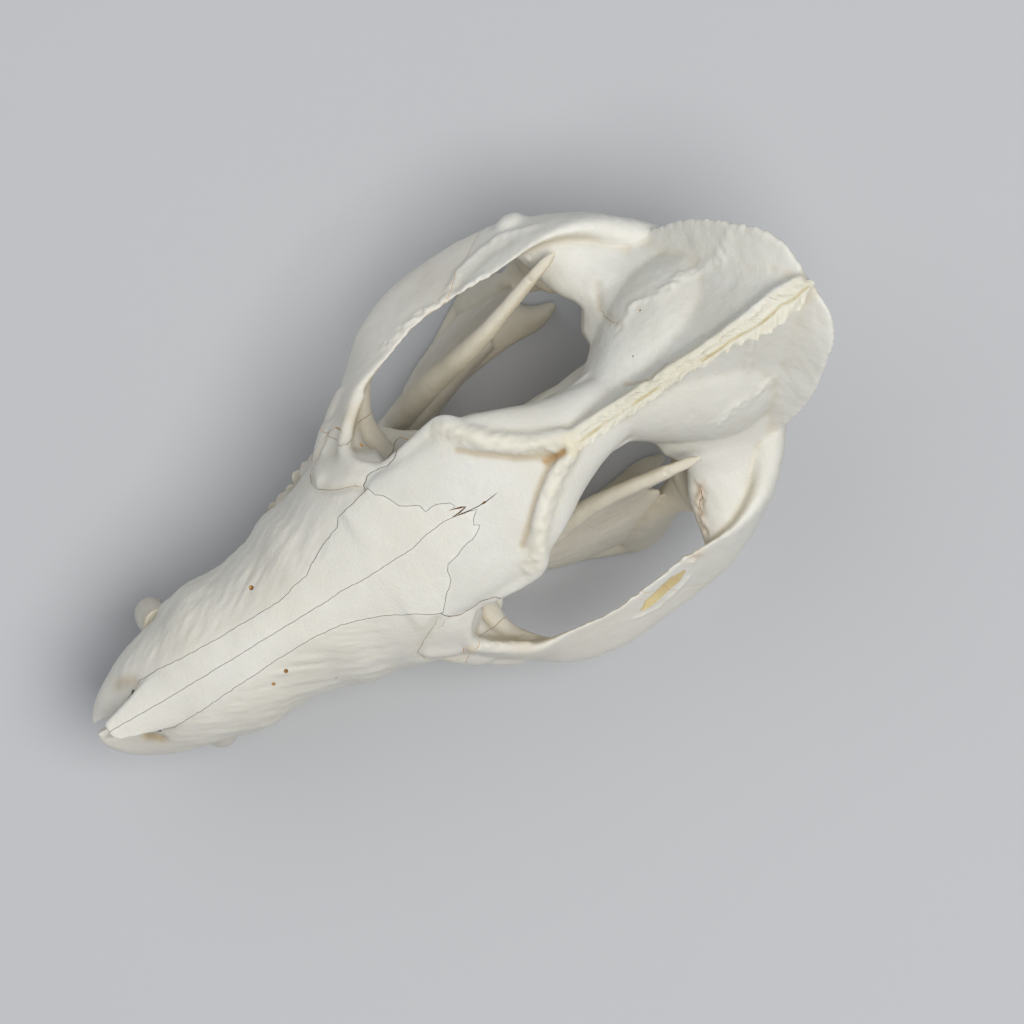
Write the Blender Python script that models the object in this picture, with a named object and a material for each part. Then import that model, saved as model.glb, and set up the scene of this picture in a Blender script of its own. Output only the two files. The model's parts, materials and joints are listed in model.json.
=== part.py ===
"""Virginia opossum skull, life size: cranium and both halves of the lower jaw.

The nose points to -Y, the animal's left is +X and the jaw rests on z = 0.
Tables are in millimetres: y runs back from the front of the upper jaw, and in
the cranium heights are above the upper gum line.
"""

import math

import bmesh
import bpy
from mathutils import Matrix, Vector

# Overall sizes, mm
MM = 0.001
SKULL_LENGTH = 125.0
GUM_HEIGHT = 22.8
CRANIUM_ROLL = math.radians(4.2)
JAW_YAW = math.radians(1.8)
JAW_PIVOT_Y = 8.0
JAW_SIDE_SHIFT = 0.4
JAW_LEAN = 0.03
GAP = 0.3
NASAL_THICKNESS = 1.7
STEP_HALF = 12.2

# How finely each bone is blended and then faceted
VOXEL = 0.55
CRANIUM_FACES = 5600
JAW_FACES = 1200
RING_POINTS = 40

# Natural sideways bend of the cranium: y, shift toward the left
BEND = (
    (-3, -0.2), (12, 0.1), (28, 0.4), (48, 0.8), (60, 0.8), (74, 0.2), (88, -0.2), (106, -0.2),
    (116, -0.6), (125, -0.5),
)

# Top line of the cranium: y, height
TOP_LINE = (
    (0.8, 14.2), (8, 16.0), (15, 18.5), (27, 22.4), (40, 26.0), (52, 30.0), (60, 32.4),
    (69, 34.3), (80, 35.5), (90, 36.4), (100, 38.0), (110, 39.4), (118, 40.0), (125, 38.4),
)

# Snout: y, half width, height of the widest line, bottom, squareness
SNOUT = (
    (-2.7, 1.8, 3.2, 1.2, 2.0), (-1.4, 3.8, 3.2, 0.6, 2.0), (0.5, 5.5, 3.2, 0.3, 2.1),
    (3, 7.0, 3.2, 0.1, 2.1), (6, 8.5, 3.6, 0.0, 2.2), (10, 9.7, 4.5, 0.0, 2.2),
    (15, 10.8, 5.0, 0.0, 2.2), (20, 12.6, 5.0, 0.0, 2.15), (27, 12.3, 5.0, 0.0, 2.1),
    (33, 13.3, 5.2, 0.0, 2.1), (37, 15.2, 5.6, 0.0, 2.15), (41, 15.6, 6.0, 0.0, 2.2),
    (46, 17.1, 7.5, 0.5, 2.4), (52, 18.0, 11.0, 2.0, 2.7), (57.5, 14.5, 15.0, 6.0, 2.8),
)
SNOUT_TOP = ((-2.7, 4.6), (-1.4, 5.6), (0.5, 7.0), (3, 9.4), (6, 12.4), (9, 15.2), (12, 17.3), (15, 18.5))

# Forehead plate: y, half width, widest line, bottom
FOREHEAD = (
    (48, 11.0, 25.0, 17.0), (54, 12.0, 27.0, 19.0), (60, 12.2, 28.8, 21.5), (66, 12.2, 30.6, 24.0),
    (69, 12.2, 31.4, 25.0), (72, 11.4, 31.6, 24.0), (76, 9.6, 31.0, 24.0), (80, 7.6, 30.0, 23.0),
    (84, 6.2, 28.0, 21.0), (89, 5.2, 26.0, 19.0), (97, 3.4, 23.0, 18.0),
)
# How far the forehead lies below the top line: y, depth
FOREHEAD_DROP = ((48, 0.0), (72, 0.2), (78, 0.8), (84, 2.6), (89, 5.0), (97, 10.0))

# Wall between the orbits: y, half width, top, widest line, bottom
ORBIT_WALL = (
    (48, 13.0, 28.0, 12.0, 2.0), (56, 10.4, 30.5, 12.0, 2.2), (62, 8.2, 31.5, 13.0, 2.6),
    (70, 6.4, 32.0, 18.0, 3.0), (78, 5.2, 32.0, 24.0, 3.6), (86, 4.0, 31.0, 25.0, 4.0),
    (93, 5.0, 28.0, 20.0, 5.0), (98, 4.0, 25.0, 18.0, 7.0),
)

# Braincase: y, half width, top, widest line, bottom
BRAINCASE = (
    (86, 4.0, 30.0, 21.0, 4.2), (90, 6.4, 30.4, 19.0, 3.8), (94, 9.6, 31.0, 17.0, 3.5),
    (98, 12.2, 31.4, 16.0, 3.2), (102, 14.2, 31.6, 15.0, 3.0), (106, 15.0, 31.2, 15.0, 3.0),
    (111, 14.2, 30.0, 15.0, 3.2), (115, 12.4, 28.0, 15.0, 3.6), (118.6, 8.8, 24.0, 15.0, 5.0),
)

# Palate and the edge that carries the teeth: y, half width, top, widest line, bottom
PALATE = (
    (5, 5.6, 5.5, 3.0, 0.1), (14, 9.4, 6.0, 3.0, 0.0), (20, 10.4, 6.0, 3.0, 0.0),
    (30, 11.2, 6.0, 3.0, 0.0), (36, 13.6, 6.5, 3.0, 0.0), (44, 16.4, 7.0, 3.2, 0.0),
    (50, 18.4, 7.4, 3.4, 0.0), (56, 19.0, 7.6, 3.4, 0.0), (59, 17.6, 7.4, 3.2, 0.2),
    (62, 14.4, 6.4, 3.4, 1.0), (66, 12.0, 6.0, 3.6, 1.8), (70, 10.8, 6.0, 3.8, 2.0),
    (73.5, 9.8, 5.6, 4.0, 2.4),
)
PALATE_HOLLOW = (
    (13, 3.0, 1.4), (22, 5.0, 2.2), (32, 6.2, 2.8), (42, 7.6, 3.4), (54, 8.8, 3.6),
    (64, 8.6, 3.8), (71, 7.0, 3.4),
)

# Cheek arch: x, y, height, half depth, half thickness, inward lean in degrees
CHEEK_ARCH = (
    (12.0, 44.5, 12.0, 5.6, 3.0, 5), (15.8, 50.0, 11.8, 7.2, 2.6, 8),
    (19.8, 55.2, 10.8, 7.4, 2.2, 14), (23.4, 60.2, 9.4, 6.8, 2.0, 20),
    (27.4, 66.0, 8.4, 6.6, 1.8, 24), (29.3, 73.0, 8.0, 6.8, 1.7, 27),
    (29.4, 80.0, 8.8, 7.0, 1.7, 27), (29.0, 86.0, 10.2, 6.8, 1.8, 28),
    (28.5, 91.4, 12.0, 5.8, 1.9, 27), (27.2, 96.6, 13.2, 4.8, 2.2, 16),
    (24.4, 102.0, 14.2, 4.4, 2.4, 6), (20.0, 106.6, 14.8, 4.2, 2.6, 0),
    (15.0, 110.6, 15.0, 4.0, 3.0, 0),
)
# Share of the arch's half thickness that it keeps, and what it loses where it leans fully:
# all round, and toward the upper edge
ARCH_ROUND = 0.8
BLADE_SLIM = 0.18
BLADE_EDGE = 0.36
FULL_LEAN = 25.0

# Hollow slope from the crest out to the arch: y, outer x, height there, height beside the crest
TEMPLE = (
    (93, 11.0, 15.6, 26.0), (97, 16.4, 14.6, 28.0), (101, 19.0, 14.4, 29.5), (106, 18.6, 14.8, 31.0),
    (110, 17.6, 15.4, 32.5), (114, 15.8, 20.6, 34.0), (118, 13.0, 26.4, 35.5), (121.5, 9.8, 31.0, 36.5),
)
TEMPLE_INNER = 4.0
TEMPLE_FALL = 1.1
TEMPLE_DEPTH = 4.5

# Shelf from the braincase out to the arch: x, y, height, half length, half thickness
SHELF = (
    (7.0, 102.8, 14.4, 7.0, 5.6), (13.5, 102.2, 13.8, 7.0, 4.8), (18.5, 99.8, 12.5, 6.9, 4.0),
    (23.0, 97.2, 12.3, 5.6, 3.7), (27.6, 94.0, 12.2, 3.4, 3.2),
)

# Floor and front of the orbit behind the cheek root: x, y, height, half length, half thickness
ORBIT_FLOOR = (
    (9.0, 55.4, 8.0, 4.8, 3.4), (14.0, 56.0, 8.4, 4.6, 3.2), (18.6, 57.0, 8.6, 4.6, 3.2),
    (22.6, 59.0, 8.6, 4.4, 3.0),
)
ORBIT_BOWL = (
    (9.0, 52.2, 14.5, 4.6, 5.0), (14.0, 52.0, 13.6, 4.4, 4.6), (18.2, 52.6, 11.6, 4.4, 4.0),
    (22.0, 56.0, 9.6, 4.0, 3.4),
)

# Crest over the middle of the braincase: y, half width of its edge, height of its foot
MID_CREST = (
    (79, 1.0, 26.0), (84, 1.2, 24.0), (95, 1.1, 24.0), (106, 1.2, 24.0), (114, 1.4, 27.0),
    (119, 1.8, 31.0), (123.8, 1.3, 35.0),
)
CREST_SPREAD = 5.0

# Rim of the crest across the back of the head: x, y, height
BACK_RIM = (
    (0.0, 124.4, 37.6), (5.4, 124.5, 36.8), (9.8, 123.0, 34.6), (12.8, 120.2, 30.8),
    (15.7, 117.0, 26.0), (17.4, 113.8, 21.0), (18.4, 110.2, 15.5), (18.2, 108.2, 10.0),
    (16.2, 109.2, 5.0),
)
BACK_CENTRE = (0.0, 112.0, 20.0)
RIM_DEPTH = 10.4
RIM_EDGE = 0.75
RIM_SPREAD = 0.3

# Raised lines on the forehead and round the orbit: x, y, height, radius
BROW_LINE = (
    (0.9, 82.0, 34.7, 1.2), (2.8, 77.6, 34.3, 1.4), (5.6, 73.4, 33.9, 1.6), (8.9, 70.4, 33.0, 1.7),
    (11.9, 68.6, 31.6, 1.6), (12.8, 66.2, 30.0, 1.5), (12.5, 61.0, 28.6, 1.2),
    (12.3, 56.8, 26.6, 1.0), (14.4, 54.0, 24.2, 1.0), (16.6, 53.2, 21.0, 1.1),
    (18.4, 55.0, 18.2, 1.1), (19.8, 57.6, 16.6, 1.0), (21.4, 60.4, 15.4, 0.9),
)
CANINE_BULGE = (
    (9.2, 15.8, 1.6, 2.6), (9.6, 18.4, 6.0, 2.7), (8.9, 22.0, 11.5, 2.3), (7.8, 25.5, 15.5, 1.4),
)

# The two nasal bones: y, half width of the pair
NASAL = (
    (-0.1, 1.9), (3, 2.6), (6, 3.4), (9, 4.2), (14, 4.1), (20, 3.7), (30, 3.6), (36, 4.1),
    (42, 5.7), (46, 7.6), (50, 9.8), (52.6, 10.6), (54.6, 9.0), (56.6, 6.4), (59, 4.4),
    (61.6, 2.8), (63.8, 1.0),
)
# How the nasals fall away to the sides: y, drop for each square millimetre of x
NASAL_ARCHING = ((0, 0.07), (30, 0.062), (42, 0.04), (52, 0.022), (64, 0.012))

# Rounded lumps of the skull base: x, y, height, then half sizes in x, y and height
BASE_LUMPS = (
    (6.0, 119.6, 9.5, 3.4, 3.6, 4.8),
    (10.4, 100.6, 4.0, 3.2, 4.6, 3.6),
    (14.2, 110.8, 3.4, 1.9, 2.4, 4.8),
    (15.8, 108.8, 8.0, 2.6, 3.4, 5.6),
    (18.6, 100.0, 7.4, 4.8, 1.6, 3.6),
    (5.6, 79.5, 4.2, 0.9, 6.8, 3.6),
    (3.2, 96.0, 4.4, 3.4, 20.0, 2.6),
)
# Openings and hollows of the skull, the same way
HOLLOWS = (
    (0.0, 120.5, 14.6, 5.0, 8.5, 4.6),
    (21.0, 94.8, 6.2, 6.8, 3.5, 3.4),
    (18.5, 103.6, 9.6, 4.6, 1.8, 2.1),
    (2.2, 77.0, 5.4, 2.2, 9.0, 2.6),
    (8.7, 10.8, 0.2, 2.3, 2.0, 3.8),
)
# Notch between the tips of the two halves of the upper jaw, the same way
NOTCH = (-1.35, -1.5, 4.5, 0.8, 2.0, 6.2)
# Opening of the nose: y, half width, top, widest line, bottom
NOSTRIL = (
    (-3, 0.7, 12.0, 8.0, 4.2), (0, 1.2, 12.4, 8.0, 4.0), (3, 2.0, 12.8, 8.0, 3.8),
    (5, 3.0, 13.2, 8.4, 3.8), (6.7, 4.7, 13.6, 9.6, 4.0), (8.4, 4.6, 14.0, 9.6, 4.2),
    (11, 3.9, 14.2, 9.6, 4.8), (16, 3.4, 14.5, 10.5, 6.5), (20, 1.6, 13.0, 11.0, 9.0),
)
# Where the forehead's bone meets the bones in front of it: y above, beside and below, and the two levels
FRONTAL_EDGE = 57.0
ORBIT_EDGE = 66.0
PALATE_EDGE = 74.5
ORBIT_LEVEL = 22.0
PALATE_LEVEL = 5.5
# The cheek bone's two sutures: a point, and the direction in which the bone lies
CHEEK_FRONT = ((18.6, 60, 9), (0.9, 0.33, 0.28))
CHEEK_REAR = ((28, 79.6, 14.0), (0, -0.58, -0.81))
CHEEK_LOW = (14, 45, -8)
CHEEK_HIGH = (40, 94.0, 20.5)
FAR = 200.0

# Half of the lower jaw, heights above the floor: y, inner x, outer x, bottom, top
JAW_BODY = (
    (3.6, 0.0, 2.6, 10.2, 14.0), (6, 0.0, 4.4, 7.6, 14.8), (11, 0.0, 6.6, 4.6, 15.2),
    (18, 0.0, 7.2, 2.2, 15.0), (25, 0.0, 7.8, 0.9, 14.8), (31, 2.2, 8.8, 0.2, 14.6),
    (38, 4.9, 10.9, -0.2, 14.5), (48, 7.0, 13.2, -0.5, 14.4), (56, 8.2, 14.8, -0.5, 14.6),
    (63, 9.6, 16.2, 0.0, 15.4), (70, 11.6, 17.4, 0.8, 16.0), (76, 13.4, 17.6, 1.6, 11.0),
    (82, 14.8, 17.2, 2.4, 6.0),
)
SYMPHYSIS_END = 26.0
# Upright branch of the jaw: height, front y, rear y, half thickness
JAW_BRANCH = (
    (5, 67.0, 90.0, 2.2), (12, 64.5, 88.6, 1.9), (18, 64.2, 88.0, 1.7), (24, 68.0, 89.6, 1.5),
    (29, 71.6, 88.2, 1.4), (34, 75.4, 88.2, 1.3), (38, 79.6, 91.0, 1.2), (41, 84.6, 94.8, 1.1),
    (43.4, 90.6, 97.2, 0.9),
)
# Floor of the jaw's angle: y, inner x, outer x, height, half thickness
JAW_ANGLE = (
    (58, 10.6, 13.8, 4.2, 3.4), (62, 11.0, 15.4, 3.8, 3.6), (68, 12.0, 18.0, 3.2, 3.2),
    (74, 13.0, 21.0, 2.8, 2.8), (79, 13.4, 23.6, 2.3, 2.4), (84, 13.4, 24.8, 1.9, 2.4),
    (87, 13.2, 22.6, 1.8, 2.3), (89, 13.0, 18.4, 1.8, 2.2), (91, 13.2, 16.6, 1.9, 2.0),
    (93.8, 14.2, 15.4, 2.2, 1.2),
)
# Thick front edge of the upright branch: its radius, how far behind the edge it runs, and its taper
BRACE_RADIUS = 1.6
BRACE_INSET = 1.3
BRACE_TAPER = 45.0
BRACE_FULL = 24.0
# Condyle: x, y, height, then half sizes; its neck: x, y, height, half sizes in x and y
CONDYLE = (21.2, 94.2, 25.6, 5.8, 2.5, 2.3)
CONDYLE_NECK = (
    (22.6, 84.6, 2.6, 2.8, 5.2), (21.8, 86.6, 9.0, 2.2, 4.6), (21.0, 89.2, 16.0, 2.1, 3.8),
    (20.8, 91.8, 21.0, 3.0, 2.8), (21.2, 93.8, 25.2, 5.0, 1.9),
)
RESTING_LEVEL = 0.0

# Teeth: x, y, length along the row, width, crown height
UPPER_INCISORS = ((1.4, 1.2, 1.7, 1.7, 4.2), (3.5, 2.9, 1.8, 1.4, 2.9), (4.9, 4.6, 1.8, 1.4, 2.9),
                  (6.0, 6.4, 1.8, 1.4, 2.8), (6.8, 8.2, 1.8, 1.3, 2.6))
LOWER_INCISORS = ((0.95, 4.4, 1.3, 1.3, 3.4), (2.1, 4.9, 1.3, 1.3, 3.2), (3.1, 5.9, 1.3, 1.3, 3.0),
                  (3.9, 7.1, 1.3, 1.3, 2.8))
UPPER_PREMOLARS = ((9.0, 20.6, 3.2, 1.9, 3.0), (9.7, 28.8, 5.2, 2.6, 5.2), (10.6, 34.9, 5.2, 3.0, 5.4))
LOWER_PREMOLARS = ((5.0, 17.0, 3.2, 1.6, 2.4), (6.0, 24.2, 5.0, 2.1, 4.2), (7.2, 30.2, 5.0, 2.4, 3.8))
UPPER_MOLARS = ((12.4, 41.4, 6.0, 5.8, 4.0), (14.0, 47.2, 5.9, 6.6, 4.0), (15.3, 52.9, 5.4, 7.2, 3.8),
                (15.8, 57.8, 3.4, 6.8, 3.3))
LOWER_MOLARS = ((8.4, 36.4, 5.5, 3.2, 2.9), (9.6, 42.2, 5.7, 3.6, 2.9), (10.7, 48.2, 5.8, 3.8, 2.8),
                (11.7, 54.2, 5.8, 3.6, 2.7))
ROW_TURN = math.radians(10)
ROOT_DEPTH = 3.0
# Gum lines of the incisors and of the teeth behind them, and how far the incisors lean forward
UPPER_FRONT_GUM = 0.4
UPPER_GUM = 0.2
UPPER_LEAN = 0.25
LOWER_FRONT_GUM = 13.8
LOWER_GUM = 14.4
LOWER_LEAN = 0.55
# Canines as curved cones: x, y, height, radius
UPPER_CANINE = (
    (9.4, 14.8, 4.5, 2.5), (10.4, 14.2, 0.5, 2.7), (11.3, 13.9, -4.0, 2.4), (11.7, 14.3, -8.5, 1.6),
    (11.5, 15.3, -12.6, 0.5),
)
LOWER_CANINE = (
    (4.6, 12.6, 9.0, 2.2), (5.6, 11.0, 14.5, 2.2), (7.0, 10.2, 18.6, 1.6), (8.0, 10.6, 22.6, 0.8),
    (8.3, 11.0, 24.6, 0.35),
)

IVORY = (0.80, 0.76, 0.66)
GREY_IVORY = (0.76, 0.74, 0.68)
WARM_IVORY = (0.78, 0.72, 0.60)
NASAL_IVORY = (0.83, 0.80, 0.72)


def clear_scene():
    """Takes away whatever the scene holds."""
    for thing in list(bpy.data.objects):
        bpy.data.objects.remove(thing, do_unlink=True)


def read_table(table, place, first=0):
    """The table's row at this place, on a smooth curve through its rows."""
    keys = [row[first] for row in table]
    place = min(max(place, keys[0]), keys[-1])
    last = len(table) - 1
    i = max(j for j in range(last) if keys[j] <= place)
    before, start, end, after = table[max(i - 1, 0)], table[i], table[i + 1], table[min(i + 2, last)]
    span = keys[i + 1] - keys[i]
    t = (place - keys[i]) / span
    values = []
    for k in range(len(start)):
        slope0 = (end[k] - before[k]) / (end[first] - before[first]) * span
        slope1 = (after[k] - start[k]) / (after[first] - start[first]) * span
        low, high = sorted((start[k], end[k]))
        value = ((2 * t ** 3 - 3 * t ** 2 + 1) * start[k] + (t ** 3 - 2 * t ** 2 + t) * slope0
                 + (3 * t ** 2 - 2 * t ** 3) * end[k] + (t ** 3 - t ** 2) * slope1)
        slack = 0.15 * (high - low)
        values.append(min(max(value, low - slack), high + slack))
    return values


def along(table, count):
    """Rows spread evenly by number along a table whose first column needn't rise."""
    numbered = [(i, *row) for i, row in enumerate(table)]
    return [read_table(numbered, (len(table) - 1) * i / (count - 1))[1:] for i in range(count)]


def power(value, exponent):
    return math.copysign(abs(value) ** exponent, value)


def loft(rings):
    """A closed body whose cap is extruded from each ring to the next."""
    bm = bmesh.new()
    cap = bm.faces.new([bm.verts.new(Vector(point) * MM) for point in rings[0]])
    for number, ring in enumerate(rings[1:]):
        made = bmesh.ops.extrude_face_region(bm, geom=[cap])["geom"]
        if number:
            bmesh.ops.delete(bm, geom=[cap], context="FACES_ONLY")
        cap = next(item for item in made if isinstance(item, bmesh.types.BMFace))
        for vert, point in zip(cap.verts, ring):
            vert.co = Vector(point) * MM
    bmesh.ops.triangulate(bm, faces=[face for face in bm.faces if len(face.verts) > 4])
    bmesh.ops.recalc_face_normals(bm, faces=bm.faces)
    return bm


def cross_section(y, half, top, middle, bottom, square=2.0, centre=0.0, points=RING_POINTS):
    """A ring across the skull at y, squarer the higher the exponent."""
    ring = []
    for i in range(points):
        angle = 2 * math.pi * i / points
        reach = top - middle if math.sin(angle) > 0 else middle - bottom
        ring.append((centre + half * power(math.cos(angle), 2 / square), y,
                     middle + reach * power(math.sin(angle), 2 / square)))
    return ring


def steps(start, end, pitch):
    """Places from start to end about one pitch apart."""
    count = max(2, round(abs(end - start) / pitch) + 1)
    return [start + (end - start) * i / (count - 1) for i in range(count)]


def tube(table, side=1, points=12, per_row=4):
    """A round rod of changing radius through x, y, height, radius rows."""
    rows = along(table, per_row * (len(table) - 1) + 1)
    rings = []
    for i, (x, y, z, radius) in enumerate(rows):
        ahead = Vector(rows[min(i + 1, len(rows) - 1)][:3]) - Vector(rows[max(i - 1, 0)][:3])
        across = ahead.cross(Vector((0.3, 0.2, 1.0))).normalized()
        upward = across.cross(ahead).normalized()
        ring = [Vector((x, y, z)) + radius * (across * math.cos(a) + upward * math.sin(a))
                for a in (2 * math.pi * k / points for k in range(points))]
        rings.append([(side * p.x, p.y, p.z) for p in ring])
    return loft(rings)


def lump(x, y, z, half_x, half_y, half_z, side=1):
    """An ellipsoid."""
    bm = bmesh.new()
    place = Matrix.Translation(Vector((side * x, y, z)) * MM)
    shape = Matrix.Diagonal((half_x * MM, half_y * MM, half_z * MM, 1.0))
    bmesh.ops.create_uvsphere(bm, u_segments=20, v_segments=12, radius=1.0, matrix=place @ shape)
    return bm


def box(low, high):
    """A box between two corners, mm."""
    bm = bmesh.new()
    size = Vector(high) - Vector(low)
    middle = (Vector(high) + Vector(low)) / 2
    matrix = Matrix.Translation(middle * MM) @ Matrix.Diagonal((*(size * MM), 1.0))
    bmesh.ops.create_cube(bm, size=1.0, matrix=matrix)
    return bm


def as_object(bm, name):
    """The bmesh as an object of the scene."""
    mesh = bpy.data.meshes.new(name)
    bm.to_mesh(mesh)
    bm.free()
    made = bpy.data.objects.new(name, mesh)
    bpy.context.scene.collection.objects.link(made)
    return made


def joined(pieces, name):
    """All pieces as the loose shells of one object."""
    whole = bmesh.new()
    for piece in pieces:
        shell = bpy.data.meshes.new(name)
        piece.to_mesh(shell)
        piece.free()
        whole.from_mesh(shell)
        bpy.data.meshes.remove(shell)
    return as_object(whole, name)


def settle(thing):
    """Applies the object's modifiers."""
    bpy.context.view_layer.update()
    graph = bpy.context.evaluated_depsgraph_get()
    shaped = bpy.data.meshes.new_from_object(thing.evaluated_get(graph))
    old = thing.data
    thing.modifiers.clear()
    thing.data = shaped
    bpy.data.meshes.remove(old)


def blend(thing, voxel=VOXEL, rounds=3):
    """Melts an object's shells into one skin and softens it."""
    remesh = thing.modifiers.new("skin", "REMESH")
    remesh.mode = "VOXEL"
    remesh.voxel_size = voxel * MM
    soften = thing.modifiers.new("soften", "SMOOTH")
    soften.factor = 0.5
    soften.iterations = rounds
    settle(thing)


def facet(thing, faces):
    """Brings an object down to about this many triangles."""
    coarse = thing.modifiers.new("facets", "DECIMATE")
    coarse.ratio = min(1.0, faces / (2 * len(thing.data.polygons)))
    coarse.use_collapse_triangulate = True
    settle(thing)


def combine(thing, pieces, operation, solver="EXACT"):
    """One Boolean of the object with a collection of closed pieces, then applied."""
    group = bpy.data.collections.new(thing.name + "_pieces")
    bpy.context.scene.collection.children.link(group)
    for number, piece in enumerate(pieces):
        helper = as_object(piece, f"{thing.name}_{operation.lower()}_{number}")
        bpy.context.scene.collection.objects.unlink(helper)
        group.objects.link(helper)
    step = thing.modifiers.new(operation.lower(), "BOOLEAN")
    step.operation = operation
    step.operand_type = "COLLECTION"
    step.collection = group
    step.solver = solver
    settle(thing)
    for helper in list(group.objects):
        bpy.data.objects.remove(helper, do_unlink=True)
    bpy.data.collections.remove(group)
    keep_largest(thing)


def keep_largest(thing):
    """Keeps the closed surface that encloses the most, and drops the rest."""
    bm = bmesh.new()
    bm.from_mesh(thing.data)
    unseen = set(bm.verts)
    shells = []
    while unseen:
        shell = {unseen.pop()}
        front = list(shell)
        while front:
            vert = front.pop()
            for edge in vert.link_edges:
                other = edge.other_vert(vert)
                if other in unseen:
                    unseen.discard(other)
                    shell.add(other)
                    front.append(other)
        shells.append(shell)

    def enclosed(shell):
        faces = {face for vert in shell for face in vert.link_faces}
        total = 0.0
        for face in faces:
            corners = [vert.co for vert in face.verts]
            for i in range(1, len(corners) - 1):
                total += corners[0].dot(corners[i].cross(corners[i + 1]))
        return total

    shells.sort(key=enclosed, reverse=True)
    bmesh.ops.delete(bm, geom=[vert for shell in shells[1:] for vert in shell], context="VERTS")
    bm.to_mesh(thing.data)
    bm.free()


def top_of_snout(y):
    return read_table(SNOUT_TOP, y)[1] if y < 15 else read_table(TOP_LINE, y)[1]


def roof(x, y):
    """Height of the nasal bones' upper face."""
    return read_table(TOP_LINE, y)[1] - read_table(NASAL_ARCHING, y)[1] * x * x


def snout_pieces():
    rings = []
    for y in steps(-2.7, 57.5, 1.4):
        _, half, middle, bottom, square = read_table(SNOUT, y)
        rings.append(cross_section(y, half, top_of_snout(y), middle, bottom, square))
    palate = [cross_section(*read_table(PALATE, y), 3.4) for y in steps(5, 73.5, 1.6)]
    nasals = []
    for y in steps(-0.1, 24, 1.1):
        half = read_table(NASAL, y)[1]
        xs = [half * (2 * i / 12 - 1) for i in range(13)]
        upper = [(x, y, roof(x, y)) for x in xs]
        lower = [(x, y, roof(x, y) - NASAL_THICKNESS + 0.1) for x in reversed(xs)]
        nasals.append(upper + lower)
    pieces = [loft(rings), loft(palate), loft(nasals)]
    return pieces + [tube(CANINE_BULGE, side) for side in (1, -1)]


def vault_pieces():
    """Forehead, wall between the orbits, braincase and its crests."""
    forehead = []
    for y in steps(48, 97, 1.4):
        _, half, middle, bottom = read_table(FOREHEAD, y)
        top = read_table(TOP_LINE, y)[1] - read_table(FOREHEAD_DROP, y)[1]
        forehead.append(cross_section(y, half, top, middle, bottom, 2.6))
    wall = [cross_section(*read_table(ORBIT_WALL, y), 2.2) for y in steps(48, 98, 1.5)]
    case = [cross_section(*read_table(BRAINCASE, y), 2.1) for y in steps(86, 118.6, 1.3)]
    crest = []
    for y in steps(79, 123.8, 1.3):
        _, edge, foot = read_table(MID_CREST, y)
        top = read_table(TOP_LINE, y)[1]
        parts = [i / 10 for i in range(11)]
        side = [(edge + CREST_SPREAD * (top - foot) / 12 * (1 - part) ** 2.4, y, foot + (top - foot) * part)
                for part in parts]
        crest.append(side + [(-x, y, z) for x, y, z in reversed(side)])
    pieces = [loft(forehead), loft(wall), loft(case), loft(crest)]
    for side in (1, -1):
        pieces += [tube(BROW_LINE, side), back_rim(side), temple_piece(side)]
        pieces += [lump(*row, side=side) for row in BASE_LUMPS]
    return pieces


def temple_piece(side):
    """The hollow slope from the crest out to the arch and the rear rim, on one side."""
    rings = []
    for y in steps(93, 121.5, 1.3):
        _, edge, low, high = read_table(TEMPLE, y)
        slope = []
        for part in steps(0.0, 1.0, 0.1):
            x = TEMPLE_INNER + (edge - TEMPLE_INNER) * part
            slope.append((x, y, low + (high - low) * (1 - part) ** TEMPLE_FALL))
        foot = low - TEMPLE_DEPTH
        ring = slope + [(edge, y, foot), (TEMPLE_INNER, y, foot)]
        rings.append([(side * x, y, z) for x, y, z in ring])
    return loft(rings)


def back_rim(side):
    """The thin crest across the back of the head, on one side."""
    rows = along(BACK_RIM, 30)
    rings = []
    for i, row in enumerate(rows):
        rim = Vector(row)
        ahead = Vector(rows[min(i + 1, 29)]) - Vector(rows[max(i - 1, 0)])
        if i == 0:
            ahead = Vector((1, 0, 0))
        inward = (Vector(BACK_CENTRE) - rim).normalized()
        thick = ahead.cross(inward).normalized()
        ring = []
        for k in range(16):
            angle = 2 * math.pi * k / 16
            depth = RIM_DEPTH / 2 * (1 - math.cos(angle))
            width = (RIM_EDGE + RIM_SPREAD * depth) * math.sin(angle)
            point = rim + inward * depth + thick * width
            ring.append((side * point.x, point.y, point.z))
        rings.append(ring)
    return loft(rings)


def arch_piece(side):
    """The cheek arch, a blade that leans inward and thins to its upper edge."""
    rows = along(CHEEK_ARCH, 45)
    rings = []
    for i, (x, y, z, depth, thickness, lean) in enumerate(rows):
        ahead = Vector(rows[min(i + 1, 44)][:3]) - Vector(rows[max(i - 1, 0)][:3])
        outward = Vector((ahead.y, -ahead.x, 0)).normalized()
        taper = min(lean / FULL_LEAN, 1)
        lean = math.radians(lean)
        upright = Vector((0, 0, math.cos(lean))) - outward * math.sin(lean)
        flat = outward * math.cos(lean) + Vector((0, 0, math.sin(lean)))
        ring = []
        for k in range(20):
            angle = 2 * math.pi * k / 20
            thin = thickness * (ARCH_ROUND - taper * (BLADE_SLIM + BLADE_EDGE * math.sin(angle)))
            point = (Vector((x, y, z)) + upright * depth * power(math.sin(angle), 0.85)
                     + flat * thin * power(math.cos(angle), 0.75))
            ring.append((side * point.x, point.y, point.z))
        rings.append(ring)
    return loft(rings)


def flat_bar(table, side):
    """A flat oval bar out to one side: x, y, height, half length, half thickness."""
    rings = []
    for x, y, z, length, thickness in along(table, 16):
        rings.append([(side * x, y + length * math.cos(a), z + thickness * math.sin(a))
                      for a in (2 * math.pi * k / 24 for k in range(24))])
    return loft(rings)


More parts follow.
